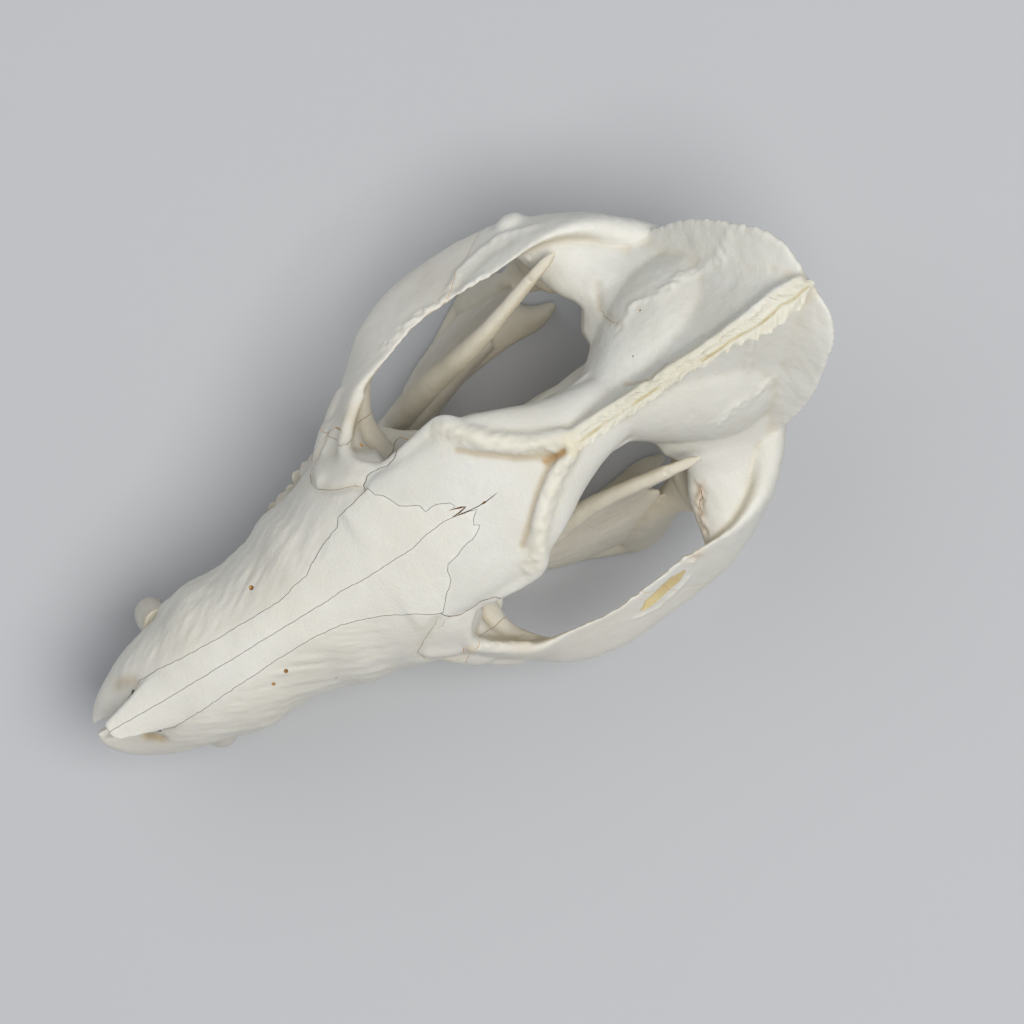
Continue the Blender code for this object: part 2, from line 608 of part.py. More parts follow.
def hollow_pieces():
    """Everything that is cut out of the cranium."""
    nostril = [cross_section(*read_table(NOSTRIL, y), 2.2, points=24) for y in steps(-3, 20, 1.6)]
    palate = []
    for y in steps(13, 71, 2):
        _, half, depth = read_table(PALATE_HOLLOW, y)
        palate.append(cross_section(y, half, depth, -2.0, -6.0, 2.2, points=24))
    cuts = [loft(nostril), loft(palate), lump(*NOTCH)]
    for row in HOLLOWS:
        cuts += [lump(*row, side=side) for side in ((1, -1) if row[0] else (1,))]
    return cuts


def cranium():
    """The whole cranium as one bone, before its sutures part it."""
    pieces = snout_pieces() + vault_pieces()
    for side in (1, -1):
        pieces += [arch_piece(side)] + [flat_bar(table, side) for table in (SHELF, ORBIT_FLOOR, ORBIT_BOWL)]
    whole = joined(pieces, "cranium")
    blend(whole, rounds=2)
    combine(whole, hollow_pieces(), "DIFFERENCE", "MANIFOLD")
    blend(whole, rounds=3)
    facet(whole, CRANIUM_FACES)
    keep_largest(whole)
    for vert in whole.data.vertices:
        vert.co.x += read_table(BEND, vert.co.y / MM)[1] * MM
    return whole


def nasal_space(side, margin, rise=9.0):
    """The room of one nasal bone, wider by a margin all round."""
    rings = []
    for y in [-0.4 - 2 * margin] + steps(-0.1, 63.8, 2.6) + [63.8 + margin + 0.2]:
        inner, bend = -margin, read_table(BEND, y)[1]
        outer = max(read_table(NASAL, y)[1] + margin, inner + 0.4)
        xs = [inner + (outer - inner) * i / 3 for i in range(4)]
        upper = [(side * x + bend, y, roof(x, y) + rise) for x in xs]
        lower = [(side * x + bend, y, roof(x, y) - NASAL_THICKNESS - margin) for x in reversed(xs)]
        rings.append(upper + lower)
    return loft(rings)


def arch_space(side, margin):
    """The room of one cheek bone: a block cut by its two slanting sutures."""
    grow = Vector((margin, margin, margin))
    bm = box(Vector(CHEEK_LOW) - grow, Vector(CHEEK_HIGH) + grow)
    for point, normal in (CHEEK_FRONT, CHEEK_REAR):
        normal = Vector(normal).normalized()
        plane = Vector(point) - normal * margin
        geometry = bm.verts[:] + bm.edges[:] + bm.faces[:]
        cut = bmesh.ops.bisect_plane(bm, geom=geometry, plane_co=plane * MM, plane_no=normal,
                                     clear_inner=True)
        edges = [item for item in cut["geom_cut"] if isinstance(item, bmesh.types.BMEdge)]
        bmesh.ops.contextual_create(bm, geom=edges)
    if side < 0:
        bmesh.ops.scale(bm, vec=(-1, 1, 1), verts=bm.verts)
    bmesh.ops.recalc_face_normals(bm, faces=bm.faces)
    return bm


def duplicate(thing, name):
    made = bpy.data.objects.new(name, thing.data.copy())
    bpy.context.scene.collection.objects.link(made)
    return made


def part_cranium(whole):
    """Cuts the cranium along its sutures into separate bones."""
    half = GAP / 2
    bones = {}
    for side, word in ((1, "left"), (-1, "right")):
        nasal = duplicate(whole, f"nasal_{word}")
        combine(nasal, [nasal_space(side, -half)], "INTERSECT", "MANIFOLD")
        arch = duplicate(whole, f"zygomatic_arch_{word}")
        combine(arch, [arch_space(side, -half)], "INTERSECT", "MANIFOLD")
        bones[nasal.name], bones[arch.name] = nasal, arch
    others = [nasal_space(side, half) for side in (1, -1)] + [arch_space(side, half) for side in (1, -1)]
    combine(whole, others, "DIFFERENCE", "MANIFOLD")
    rostrum = duplicate(whole, "rostrum")
    side = STEP_HALF + GAP
    behind = [box((-side, FRONTAL_EDGE - half, PALATE_LEVEL - half), (side, FAR, FAR)),
              box((-FAR, FRONTAL_EDGE - half, ORBIT_LEVEL - half), (FAR, FAR, FAR)),
              box((-FAR, ORBIT_EDGE - half, PALATE_LEVEL - half), (FAR, FAR, FAR)),
              box((-FAR, PALATE_EDGE - half, -FAR), (FAR, FAR, FAR))]
    combine(rostrum, behind, "DIFFERENCE", "MANIFOLD")
    braincase = duplicate(whole, "braincase")
    ahead = [box((-FAR, -FAR, -FAR), (FAR, FRONTAL_EDGE + half, FAR)),
             box((-FAR, -FAR, -FAR), (FAR, PALATE_EDGE + half, PALATE_LEVEL + half)),
             box((STEP_HALF, -FAR, -FAR), (FAR, ORBIT_EDGE + half, ORBIT_LEVEL + half)),
             box((-FAR, -FAR, -FAR), (-STEP_HALF, ORBIT_EDGE + half, ORBIT_LEVEL + half))]
    combine(braincase, ahead, "DIFFERENCE", "MANIFOLD")
    bpy.data.objects.remove(whole, do_unlink=True)
    bones["rostrum"], bones["braincase"] = rostrum, braincase
    return bones


def peg(x, y, gum, length, width, height, lean, side=1):
    """A one-rooted front tooth, a flattened cone that leans forward."""
    rings = []
    for part, size in ((-ROOT_DEPTH / abs(height), 0.75), (0, 1.0), (0.45, 0.95), (0.85, 0.6), (1, 0.3)):
        rise = part * height
        rings.append([(side * (x + width / 2 * size * math.cos(a)),
                       y - lean * abs(rise) + length / 2 * size * math.sin(a), gum + rise)
                      for a in (2 * math.pi * k / 6 for k in range(6))])
    return loft(rings)


def blade_tooth(x, y, gum, length, width, height, side=1):
    """A premolar: one tall cusp over the front root, a low heel behind."""
    rings = []
    root = ROOT_DEPTH / abs(height)
    rows = ((-root, 0.8, 0), (0, 0.96, 0), (0.3, 1.0, 0), (0.65, 0.6, -0.1), (1, 0.16, -0.16))
    for part, size, shift in rows:
        ring = []
        for k in range(8):
            angle = 2 * math.pi * k / 8
            along_row = length / 2 * size * math.cos(angle) + shift * length
            across = width / 2 * size * math.sin(angle)
            ring.append(turned(x, y, along_row, across, gum + part * height, side))
        rings.append(ring)
    return loft(rings)


def turned(x, y, along_row, across, z, side):
    """A point of a tooth, turned with the row, which spreads backward."""
    cos, sin = math.cos(ROW_TURN), math.sin(ROW_TURN)
    return (side * (x + across * cos + along_row * sin), y + along_row * cos - across * sin, z)


def molar(x, y, gum, length, width, height, side=1, upper=True):
    """A molar: a low crown, three-sided above and oblong below, with its cusps."""
    root = ROOT_DEPTH / abs(height)
    base = []
    for part, size in ((-root, 0.72), (0, 0.9), (0.42, 1.0), (0.62, 0.8)):
        ring = []
        for k in range(8):
            angle = 2 * math.pi * (k + 0.5) / 8
            across = width / 2 * size * power(math.cos(angle), 0.8)
            taper = 1.0 - (0.42 * (0.5 - across / width) if upper else 0.0)
            along_row = length / 2 * size * taper * power(math.sin(angle), 0.8)
            ring.append(turned(x, y, along_row, across, gum + part * height, side))
        base.append(ring)
    pieces = [loft(base)]
    if upper:
        cusps = ((-0.3, 0.0, 0.85), (0.12, -0.26, 0.95), (0.12, 0.26, 1.0))
    else:
        cusps = ((0.2, -0.24, 1.0), (-0.22, -0.3, 0.9), (0.0, 0.28, 0.78))
    for out, back, tall in cusps:
        rings = []
        for part, size in ((0.3, 1.0), (tall, 0.16)):
            rings.append([turned(x, y, back * length + 0.2 * length * size * math.sin(a),
                                 out * width + 0.2 * width * size * math.cos(a), gum + part * height, side)
                          for a in (2 * math.pi * k / 5 for k in range(5))])
        pieces.append(loft(rings))
    return pieces


def upper_teeth():
    teeth = []
    for side in (1, -1):
        teeth.append(tube(UPPER_CANINE, side, 8, 2))
        for x, y, length, width, height in UPPER_INCISORS:
            teeth.append(peg(x, y, UPPER_FRONT_GUM, length, width, -height, UPPER_LEAN, side))
        for x, y, length, width, height in UPPER_PREMOLARS:
            teeth.append(blade_tooth(x, y, UPPER_GUM, length, width, -height, side))
        for x, y, length, width, height in UPPER_MOLARS:
            teeth += molar(x, y, UPPER_GUM, length, width, -height, side)
    return teeth


def lower_teeth(side):
    teeth = [tube(LOWER_CANINE, side, 8, 2)]
    for x, y, length, width, height in LOWER_INCISORS:
        teeth.append(peg(x, y, LOWER_FRONT_GUM, length, width, height, LOWER_LEAN, side))
    for x, y, length, width, height in LOWER_PREMOLARS:
        teeth.append(blade_tooth(x, y, LOWER_GUM, length, width, height, side))
    for x, y, length, width, height in LOWER_MOLARS:
        teeth += molar(x, y, LOWER_GUM, length, width, height, side, upper=False)
    return teeth


def branch_x(y, z, side):
    """Middle of the jaw's upright branch: it spreads toward its foot and leans to the right."""
    return 14.8 + 0.214 * (y - 78) + 0.16 * max(0.0, 36 - z) - side * JAW_LEAN * max(0.0, z - 8)


def jaw_half(side, name):
    """One half of the lower jaw, with its teeth."""
    body = []
    for y in steps(3.6, 82, 1.5):
        _, inner, outer, bottom, top = read_table(JAW_BODY, y)
        inner = inner if y > SYMPHYSIS_END else -1.6
        centre, half = (inner + outer) / 2, (outer - inner) / 2
        ring = cross_section(y, half, top, (top + bottom) / 2, bottom, 2.5, centre, 28)
        body.append([(side * x, y, z) for x, y, z in ring])
    branch = []
    for z in steps(5, 43.4, 1.3):
        _, front, rear, thickness = read_table(JAW_BRANCH, z)
        ring = []
        for k in range(24):
            angle = 2 * math.pi * k / 24
            y = (front + rear) / 2 + (rear - front) / 2 * power(math.cos(angle), 0.9)
            x = branch_x(y, z, side) + thickness * math.sin(angle)
            ring.append((side * x, y, z))
        branch.append(ring)
    angle_floor = []
    for y in steps(58, 93.8, 1.3):
        _, inner, outer, z, thickness = read_table(JAW_ANGLE, y)
        ring = cross_section(y, (outer - inner) / 2, z + thickness, z, z - thickness, 2.2,
                             (inner + outer) / 2, 24)
        angle_floor.append([(side * x, y, z) for x, y, z in ring])
    neck = []
    for x, y, z, half_x, half_y in along(CONDYLE_NECK, 12):
        neck.append([(side * (x + half_x * math.cos(a)), y + half_y * math.sin(a), z)
                     for a in (2 * math.pi * k / 16 for k in range(16))])
    brace = []
    for z, front, _, _ in JAW_BRANCH[1:]:
        y = front + BRACE_INSET
        brace.append((branch_x(y, z, side), y, z, BRACE_RADIUS * (1 - max(0, z - BRACE_FULL) / BRACE_TAPER)))
    pieces = [loft(body), loft(branch), loft(angle_floor), loft(neck), tube(brace, side)]
    pieces.append(lump(*CONDYLE, side=side))
    half = joined(pieces, name)
    blend(half, rounds=3)
    inner = (-60, GAP / 2) if side > 0 else (-GAP / 2, 60)
    outside = [box((-60, -20, -20), (60, 140, RESTING_LEVEL)), box((inner[0], -20, -20), (inner[1], 140, 80))]
    facet(half, JAW_FACES)
    combine(half, outside, "DIFFERENCE", "MANIFOLD")
    combine(half, lower_teeth(side), "UNION", "MANIFOLD")
    return half


def place(thing, matrix):
    thing.data.transform(matrix)


def centre(things):
    """Sets the skull down on z = 0 with its bounds centred over the origin."""
    corners = [vert.co for thing in things for vert in thing.data.vertices]
    low = [min(corner[i] for corner in corners) for i in range(3)]
    high = [max(corner[i] for corner in corners) for i in range(3)]
    for thing in things:
        place(thing, Matrix.Translation((-(low[0] + high[0]) / 2, -(low[1] + high[1]) / 2, -low[2])))


def finish(thing, colour):
    """Smooth shading and the bone's own material."""
    material = bpy.data.materials.new(thing.name + "_bone")
    material.use_nodes = True
    shader = material.node_tree.nodes["Principled BSDF"]
    shader.inputs["Base Color"].default_value = (*colour, 1)
    shader.inputs["Roughness"].default_value = 0.55
    shader.inputs["Metallic"].default_value = 0.0
    thing.data.materials.clear()
    thing.data.materials.append(material)
    thing.data.shade_smooth()
    thing.data.set_sharp_from_angle(angle=math.radians(50))


def main():
    clear_scene()
    bones = part_cranium(cranium())
    combine(bones["rostrum"], upper_teeth(), "UNION", "MANIFOLD")
    middle = Vector((0, -SKULL_LENGTH / 2, 0)) * MM
    lift = Matrix.Translation(middle + Vector((0, 0, GUM_HEIGHT * MM)))
    seated = lift @ Matrix.Rotation(CRANIUM_ROLL, 4, "Y")
    for bone in bones.values():
        place(bone, seated)
    pivot = Vector((0, JAW_PIVOT_Y, 0)) * MM
    turn = Matrix.Rotation(JAW_YAW, 4, "Z") @ Matrix.Translation(-pivot)
    turn = Matrix.Translation(middle + pivot + Vector((JAW_SIDE_SHIFT, 0, 0)) * MM) @ turn
    for side, word in ((1, "left"), (-1, "right")):
        half = jaw_half(side, f"mandible_{word}")
        place(half, turn)
        bones[half.name] = half
    centre(bones.values())
    colours = {"braincase": GREY_IVORY, "rostrum": IVORY, "nasal_left": NASAL_IVORY,
               "nasal_right": NASAL_IVORY, "mandible_left": WARM_IVORY, "mandible_right": WARM_IVORY}
    for name, bone in bones.items():
        finish(bone, colours.get(name, IVORY))


main()
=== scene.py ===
"""Finished look of a Virginia opossum skull: bones, sutures, crest, teeth, floor and light.

Lengths are millimetres until a finished bone is set in its place. In the cranium's own
tables y runs back from the front of the upper jaw and heights are above the upper gum line;
in the lower jaw heights are above the floor. Lines drawn on the bone are given as a viewer
above the skull sees them: x across, the animal's left positive, and y back from the nose.
"""

import sys

import itertools
import json
import logging
import math
import random
from collections.abc import Callable, Sequence
from dataclasses import dataclass
from enum import Enum

import bmesh
import bpy
import numpy as np
from mathutils import Matrix, Vector
from mathutils.bvhtree import BVHTree

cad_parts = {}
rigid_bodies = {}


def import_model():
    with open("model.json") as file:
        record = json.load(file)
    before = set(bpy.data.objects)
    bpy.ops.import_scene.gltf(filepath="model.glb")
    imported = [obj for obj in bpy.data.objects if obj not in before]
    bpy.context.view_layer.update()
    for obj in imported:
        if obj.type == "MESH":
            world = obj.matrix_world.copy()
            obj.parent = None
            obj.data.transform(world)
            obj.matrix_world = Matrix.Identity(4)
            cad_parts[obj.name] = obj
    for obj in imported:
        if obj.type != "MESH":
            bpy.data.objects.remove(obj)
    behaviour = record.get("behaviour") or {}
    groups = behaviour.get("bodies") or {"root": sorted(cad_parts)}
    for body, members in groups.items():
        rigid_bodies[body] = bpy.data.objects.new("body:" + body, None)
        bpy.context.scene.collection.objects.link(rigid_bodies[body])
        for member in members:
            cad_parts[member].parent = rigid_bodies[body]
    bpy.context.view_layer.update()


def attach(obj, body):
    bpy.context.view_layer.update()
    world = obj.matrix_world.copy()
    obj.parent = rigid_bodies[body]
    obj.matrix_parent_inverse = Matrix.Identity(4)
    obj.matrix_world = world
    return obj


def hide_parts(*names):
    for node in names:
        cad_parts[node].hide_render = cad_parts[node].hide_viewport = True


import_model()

Row = tuple[float, ...]
Table = tuple[Row, ...]
Ring = list[Sequence[float]]
Colour = tuple[float, float, float]
Solid = bmesh.types.BMesh
Thing = bpy.types.Object
Array = np.ndarray
log = logging.getLogger("skull")

MM = 0.001
TURN = 2 * math.pi
BODY = "root"
FAR = 200.0
SEAM = 0.07
CRANIUM_VOXEL = 0.36
JAW_VOXEL = 0.36
TOOTH_VOXEL = 0.2
# Share of one round of softening, and the voxel for which the rounds are given
SOFTENING = 0.5
ROUNDS_VOXEL = 0.55
RING_POINTS = 56
LUMP_CELLS = (28, 18)
PORE_CELLS = (14, 10)
# How far a curve may pass beyond its rows, as a share of the step between them
OVERSHOOT = 0.15
# A direction that no rod follows, from which the rings of rods are turned
ROD_UP = Vector((0.3, 0.2, 1.0))
SHARP_ANGLE = math.radians(55)
# Numbers that scatter the cells of the noise
NOISE_START = 512.37
SCATTER = (73856093, 19349663, 83492791, 6542989)
MIXERS = ((13, 1274126177), (15, 2246822519))
LOW_BITS = 0x7FFFFFFF
# Which noise or wander each kind of mark takes first
RIM_SEED = 8
STROKE_SEED = 20
NASAL_SEEDS = (40, 41)
FRONTAL_SEED = 51
GROOVE_SEED = 70
STROKE_PITCH = 2.0


class Side(Enum):
    """A side of the animal, with the sign of its x."""

    LEFT = 1
    RIGHT = -1

    @property
    def word(self) -> str:
        """The side as it stands in a name."""
        return self.name.lower()


class Cut(Enum):
    """What a Boolean does."""

    UNION = "UNION"
    DIFFERENCE = "DIFFERENCE"
    INTERSECT = "INTERSECT"


class Slot(Enum):
    """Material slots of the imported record."""

    ROSTRUM = "rostrum"
    BRAINCASE = "braincase"
    NASAL = "nasal"
    ARCH = "arch"
    MANDIBLE = "mandible"
    TOOTH = "tooth"


# Curves and closed bodies


def read_table(table: Table, place: float, first: int = 0) -> list[float]:
    """Reads a table on a smooth curve through its rows.

    Args:
        table: Rows of numbers in rising order of their first column.
        place: Where to read, in the units of the first column.
        first: Index of the column that holds the place.

    Returns:
        The row at that place.
    """
    keys = [row[first] for row in table]
    place = min(max(place, keys[0]), keys[-1])
    last = len(table) - 1
    i = max(j for j in range(last) if keys[j] <= place)
    before, start, end, after = table[max(i - 1, 0)], table[i], table[i + 1], table[min(i + 2, last)]
    step = keys[i + 1] - keys[i]
    t = (place - keys[i]) / step
    values = []
    for k in range(len(start)):
        slope0 = (end[k] - before[k]) / (end[first] - before[first]) * step
        slope1 = (after[k] - start[k]) / (after[first] - start[first]) * step
        low, high = sorted((start[k], end[k]))
        value = ((2 * t ** 3 - 3 * t ** 2 + 1) * start[k] + (t ** 3 - 2 * t ** 2 + t) * slope0
                 + (3 * t ** 2 - 2 * t ** 3) * end[k] + (t ** 3 - t ** 2) * slope1)
        slack = OVERSHOOT * (high - low)
        values.append(min(max(value, low - slack), high + slack))
    return values


def along(table: Table, count: int) -> list[list[float]]:
    """Rows spread evenly by number along a table whose first column needn't rise."""
    numbered = tuple((i, *row) for i, row in enumerate(table))
    return [read_table(numbered, (len(table) - 1) * i / (count - 1))[1:] for i in range(count)]


def power(value: float, exponent: float) -> float:
    """The power of a number's size, with its sign kept."""
    return math.copysign(abs(value) ** exponent, value)


def steps(start: float, end: float, pitch: float) -> list[float]:
    """Places from start to end about one pitch apart."""
    count = max(2, round(abs(end - start) / pitch) + 1)
    return [start + (end - start) * i / (count - 1) for i in range(count)]


def span(table: Table, pitch: float) -> list[float]:
    """Places over the whole length of a table about one pitch apart."""
    return steps(table[0][0], table[-1][0], pitch)


def circle(points: int) -> list[tuple[float, float]]:
    """Cosine and sine of evenly spread angles."""
    return [(math.cos(TURN * k / points), math.sin(TURN * k / points)) for k in range(points)]


def flipped(ring: Ring, sign: int) -> Ring:
    """A ring moved to the side of the animal that the sign gives."""
    return [(sign * x, y, z) for x, y, z in ring]


def heading(rows: Sequence[Sequence[float]], i: int) -> Vector:
    """Direction of a line of points at one of them."""
    return Vector(rows[min(i + 1, len(rows) - 1)][:3]) - Vector(rows[max(i - 1, 0)][:3])


def stained(bm: Solid, stain: int) -> Solid:
    """The bmesh with one material index on all its faces."""
    for face in bm.faces:
        face.material_index = stain
    return bm


def loft(rings: Sequence[Ring], stain: int = 0) -> Solid:
    """A closed body whose cap is extruded from each ring to the next.

    Args:
        rings: Rings with one number of points.
        stain: Material index of its faces.

    Returns:
        The body.
    """
    bm = bmesh.new()
    cap = bm.faces.new([bm.verts.new(Vector(point)) for point in rings[0]])
    for number, ring in enumerate(rings[1:]):
        made = bmesh.ops.extrude_face_region(bm, geom=[cap])["geom"]
        if number:
            bmesh.ops.delete(bm, geom=[cap], context="FACES_ONLY")
        cap = next(item for item in made if isinstance(item, bmesh.types.BMFace))
        for vert, point in zip(cap.verts, ring):
            vert.co = Vector(point)
    bmesh.ops.triangulate(bm, faces=[face for face in bm.faces if len(face.verts) > 4])
    bmesh.ops.recalc_face_normals(bm, faces=bm.faces)
    return stained(bm, stain)


def cross_section(y: float, half: float, top: float, middle: float, bottom: float,
                  square: float = 2.0, centre: float = 0.0, points: int = RING_POINTS) -> Ring:
    """A ring across the skull.

    Args:
        y: Where it stands.
        half: Half its width.
        top: Its highest point.
        middle: Height at which it is widest.
        bottom: Its lowest point.
        square: Exponent of its outline: 2 is an ellipse, and more is squarer.
        centre: Place of its middle across the skull.
        points: Number of its points.

    Returns:
        The points of the ring.
    """
    ring = []
    for cos, sin in circle(points):
        reach = top - middle if sin > 0 else middle - bottom
        ring.append((centre + half * power(cos, 2 / square), y, middle + reach * power(sin, 2 / square)))
    return ring


def sections(table: Table, pitch: float, square: float, points: int = RING_POINTS) -> list[Ring]:
    """Rings across the skull along a table of y, half width, top, middle and bottom."""
    return [cross_section(*read_table(table, y), square, points=points) for y in span(table, pitch)]


def tube(table: Table, side: int = 1, points: int = 18, per_row: int = 6) -> Solid:
    """A round rod of changing radius.

    Args:
        table: Rows of x, y, height and radius.
        side: Sign of the side it stands on.
        points: Number of points round it.
        per_row: Number of rings from each row to the next.

    Returns:
        The rod.
    """
    rows = along(table, per_row * (len(table) - 1) + 1)
    rings = []
    for i, (x, y, z, radius) in enumerate(rows):
        ahead = heading(rows, i)
        across = ahead.cross(ROD_UP).normalized()
        upward = across.cross(ahead).normalized()
        ring = [Vector((x, y, z)) + radius * (across * cos + upward * sin) for cos, sin in circle(points)]
        rings.append(flipped(ring, side))
    return loft(rings)


def ball(matrix: Matrix, cells: tuple[int, int], stain: int = 0) -> Solid:
    """A sphere of radius 1, stretched and moved by a matrix."""
    bm = bmesh.new()
    bmesh.ops.create_uvsphere(bm, u_segments=cells[0], v_segments=cells[1], radius=1.0, matrix=matrix)
    return stained(bm, stain)


def lump(x: float, y: float, z: float, half_x: float, half_y: float, half_z: float, side: int = 1) -> Solid:
    """An ellipsoid."""
    matrix = Matrix.Translation((side * x, y, z)) @ Matrix.Diagonal((half_x, half_y, half_z, 1.0))
    return ball(matrix, LUMP_CELLS)


def box(low: Sequence[float], high: Sequence[float], stain: int = 0) -> Solid:
    """A box between two corners."""
    bm = bmesh.new()
    size, middle = Vector(high) - Vector(low), (Vector(high) + Vector(low)) / 2
    bmesh.ops.create_cube(bm, size=1.0, matrix=Matrix.Translation(middle) @ Matrix.Diagonal((*size, 1.0)))
    return stained(bm, stain)


def prism(outline: Sequence[tuple[float, float]], low: float, high: float, stain: int = 0) -> Solid:
    """An upright block over a closed outline in plan."""
    return loft([[(x, y, low) for x, y in outline], [(x, y, high) for x, y in outline]], stain)


# Objects and their modifiers


def placed(name: str, data: bpy.types.ID) -> Thing:
    """A new object of the scene with this data."""
    made = bpy.data.objects.new(name, data)
    bpy.context.scene.collection.objects.link(made)
    return made


def as_object(bm: Solid, name: str) -> Thing:
    """The bmesh as an object of the scene."""
    mesh = bpy.data.meshes.new(name)
    bm.to_mesh(mesh)
    bm.free()
    return placed(name, mesh)


def taken(thing: Thing) -> Solid:
    """The object's mesh as a bmesh."""
    bm = bmesh.new()
    bm.from_mesh(thing.data)
    return bm


def joined(pieces: Sequence[Solid], name: str) -> Thing:
    """All pieces as the loose shells of one object."""
    whole = bmesh.new()
    for piece in pieces:
        shell = bpy.data.meshes.new(name)
        piece.to_mesh(shell)
        piece.free()
        whole.from_mesh(shell)
        bpy.data.meshes.remove(shell)
    return as_object(whole, name)


def duplicate(thing: Thing, name: str) -> Thing:
    """A copy of an object with a mesh of its own."""
    return placed(name, thing.data.copy())


def settle(thing: Thing) -> None:
    """Applies the object's modifiers."""
    bpy.context.view_layer.update()
    graph = bpy.context.evaluated_depsgraph_get()
    shaped = bpy.data.meshes.new_from_object(thing.evaluated_get(graph))
    old = thing.data
    thing.modifiers.clear()
    thing.data = shaped
    bpy.data.meshes.remove(old)


def blend(thing: Thing, voxel: float, reach: float) -> None:
    """Melts an object's shells into one skin and softens it.

    Args:
        thing: The object to change.
        voxel: Size of the skin's cells.
        reach: How far the softening spreads, in rounds at the voxel they are given for.
    """
    voxel = voxel
    remesh = thing.modifiers.new("skin", "REMESH")
    remesh.mode = "VOXEL"
    remesh.voxel_size = voxel
    soften = thing.modifiers.new("soften", "SMOOTH")
    soften.factor = SOFTENING
    soften.iterations = max(1, round(reach * (ROUNDS_VOXEL / voxel) ** 2))
    settle(thing)


def combine(thing: Thing, pieces: Sequence[Solid], cut: Cut) -> None:
    """Applies one Boolean of the object with closed pieces, and keeps the largest shell.

    Args:
        thing: The object to change.
        pieces: What is joined to it, cut out of it or kept of it. They are used up.
        cut: What the Boolean does.
    """
    group = bpy.data.collections.new(thing.name + "_pieces")
    bpy.context.scene.collection.children.link(group)
    for number, piece in enumerate(pieces):
        helper = as_object(piece, f"{thing.name}_{cut.value.lower()}_{number}")
        bpy.context.scene.collection.objects.unlink(helper)
        group.objects.link(helper)
    step = thing.modifiers.new(cut.value.lower(), "BOOLEAN")
    step.operation = cut.value
    step.operand_type = "COLLECTION"
    step.collection = group
    step.solver = "MANIFOLD"
    settle(thing)
    for helper in list(group.objects):
        bpy.data.objects.remove(helper, do_unlink=True)
    bpy.data.collections.remove(group)
    keep_largest(thing)


def edge_ends(mesh: bpy.types.Mesh) -> tuple[Array, Array]:
    """The first and the last vertex of every edge."""
    pairs = np.empty(2 * len(mesh.edges), np.int32)
    mesh.edges.foreach_get("vertices", pairs)
    return pairs[::2], pairs[1::2]


def keep_largest(thing: Thing) -> None:
    """Keeps the shell with the most vertices, and drops the rest."""
    mesh = thing.data
    one, other = edge_ends(mesh)
    label = np.arange(len(mesh.vertices))
    while True:
        low = np.minimum(label[one], label[other])
        new = label.copy()
        np.minimum.at(new, one, low)
        np.minimum.at(new, other, low)
        new = new[new]
        if (new == label).all():
            break
        label = new
    if not label.any():
        return
    largest = np.bincount(label).argmax()
    bm = taken(thing)
    bm.verts.ensure_lookup_table()
    drop = [bm.verts[i] for i in np.nonzero(label != largest)[0]]
    bmesh.ops.delete(bm, geom=drop, context="VERTS")
    bm.to_mesh(mesh)
    bm.free()


def vertex_rows(thing: Thing, kind: str) -> Array:
    """Three numbers of every vertex, one row each."""
    values = np.empty(3 * len(thing.data.vertices), np.float32)
    thing.data.vertices.foreach_get(kind, values)
    return values.reshape(-1, 3).astype(float)


def places(thing: Thing) -> Array:
    """The vertices' coordinates, one row each."""
    return vertex_rows(thing, "co")


def normals(thing: Thing) -> Array:
    """The vertices' outward directions, one row each."""
    return vertex_rows(thing, "normal")


def put(thing: Thing, points: Array) -> None:
    """Moves the vertices to these coordinates."""
    thing.data.vertices.foreach_set("co", points.astype(np.float32).ravel())
    thing.data.update()


def lattice(points: Array, cell: float | Row, seed: int = 0) -> Array:
    """Smooth noise between -1 and 1.

    Args:
        points: Coordinates, one row each.
        cell: Size of its cells, one number or one for each axis.
        seed: Which noise to take.

    Returns:
        One value for each point.
    """
    scaled = points / np.array(cell, float) + NOISE_START
    base = np.floor(scaled).astype(np.int64)
    part = scaled - base
    part = part * part * (3 - 2 * part)
    total = np.zeros(len(points))
    for corner in itertools.product((0, 1), repeat=3):
        at = base + np.array(corner)
        key = at[:, 0] * SCATTER[0] ^ at[:, 1] * SCATTER[1] ^ at[:, 2] * SCATTER[2] ^ (seed + 1) * SCATTER[3]
        for shift, factor in MIXERS:
            key = (key ^ (key >> shift)) * factor & LOW_BITS
        weight = np.prod(np.where(np.array(corner) == 1, part, 1 - part), axis=1)
        total += weight * (key / (LOW_BITS >> 1) - 1)
    return total


@dataclass(frozen=True)
class Relief:
    """One layer of unevenness: its height, the size of its cells and which noise it takes."""

    height: float
    cell: float | Row
    seed: int


def relief(points: Array, layers: Sequence[Relief]) -> Array:
    """How far the layers lift each point."""
    return sum(layer.height * lattice(points, layer.cell, layer.seed) for layer in layers)


def rise_over(values: Array, start: float, end: float) -> Array:
    """Goes smoothly from 0 at start to 1 at end."""
    part = np.clip((values - start) / (end - start), 0, 1)
    return part * part * (3 - 2 * part)


def distance_to(points: Array, line: Array) -> tuple[Array, Array]:
    """Measures from points to a line of points.

    Args:
        points: Coordinates, one row each.
        line: The line's points, one row each.

    Returns:
        The distance of each point, and how far along the line its nearest place is, from 0 to 1.
    """
    best = np.full(len(points), np.inf)
    where = np.zeros(len(points))
    for i, (start, end) in enumerate(zip(line[:-1], line[1:])):
        step = end - start
        t = np.clip((points - start) @ step / max(step @ step, 1e-9), 0, 1)
        gap = np.linalg.norm(points - start - t[:, None] * step, axis=1)
        nearer = gap < best
        best[nearer] = gap[nearer]
        where[nearer] = (i + t[nearer]) / (len(line) - 1)
    return best, where


# How the skull stands, and how it is looked at


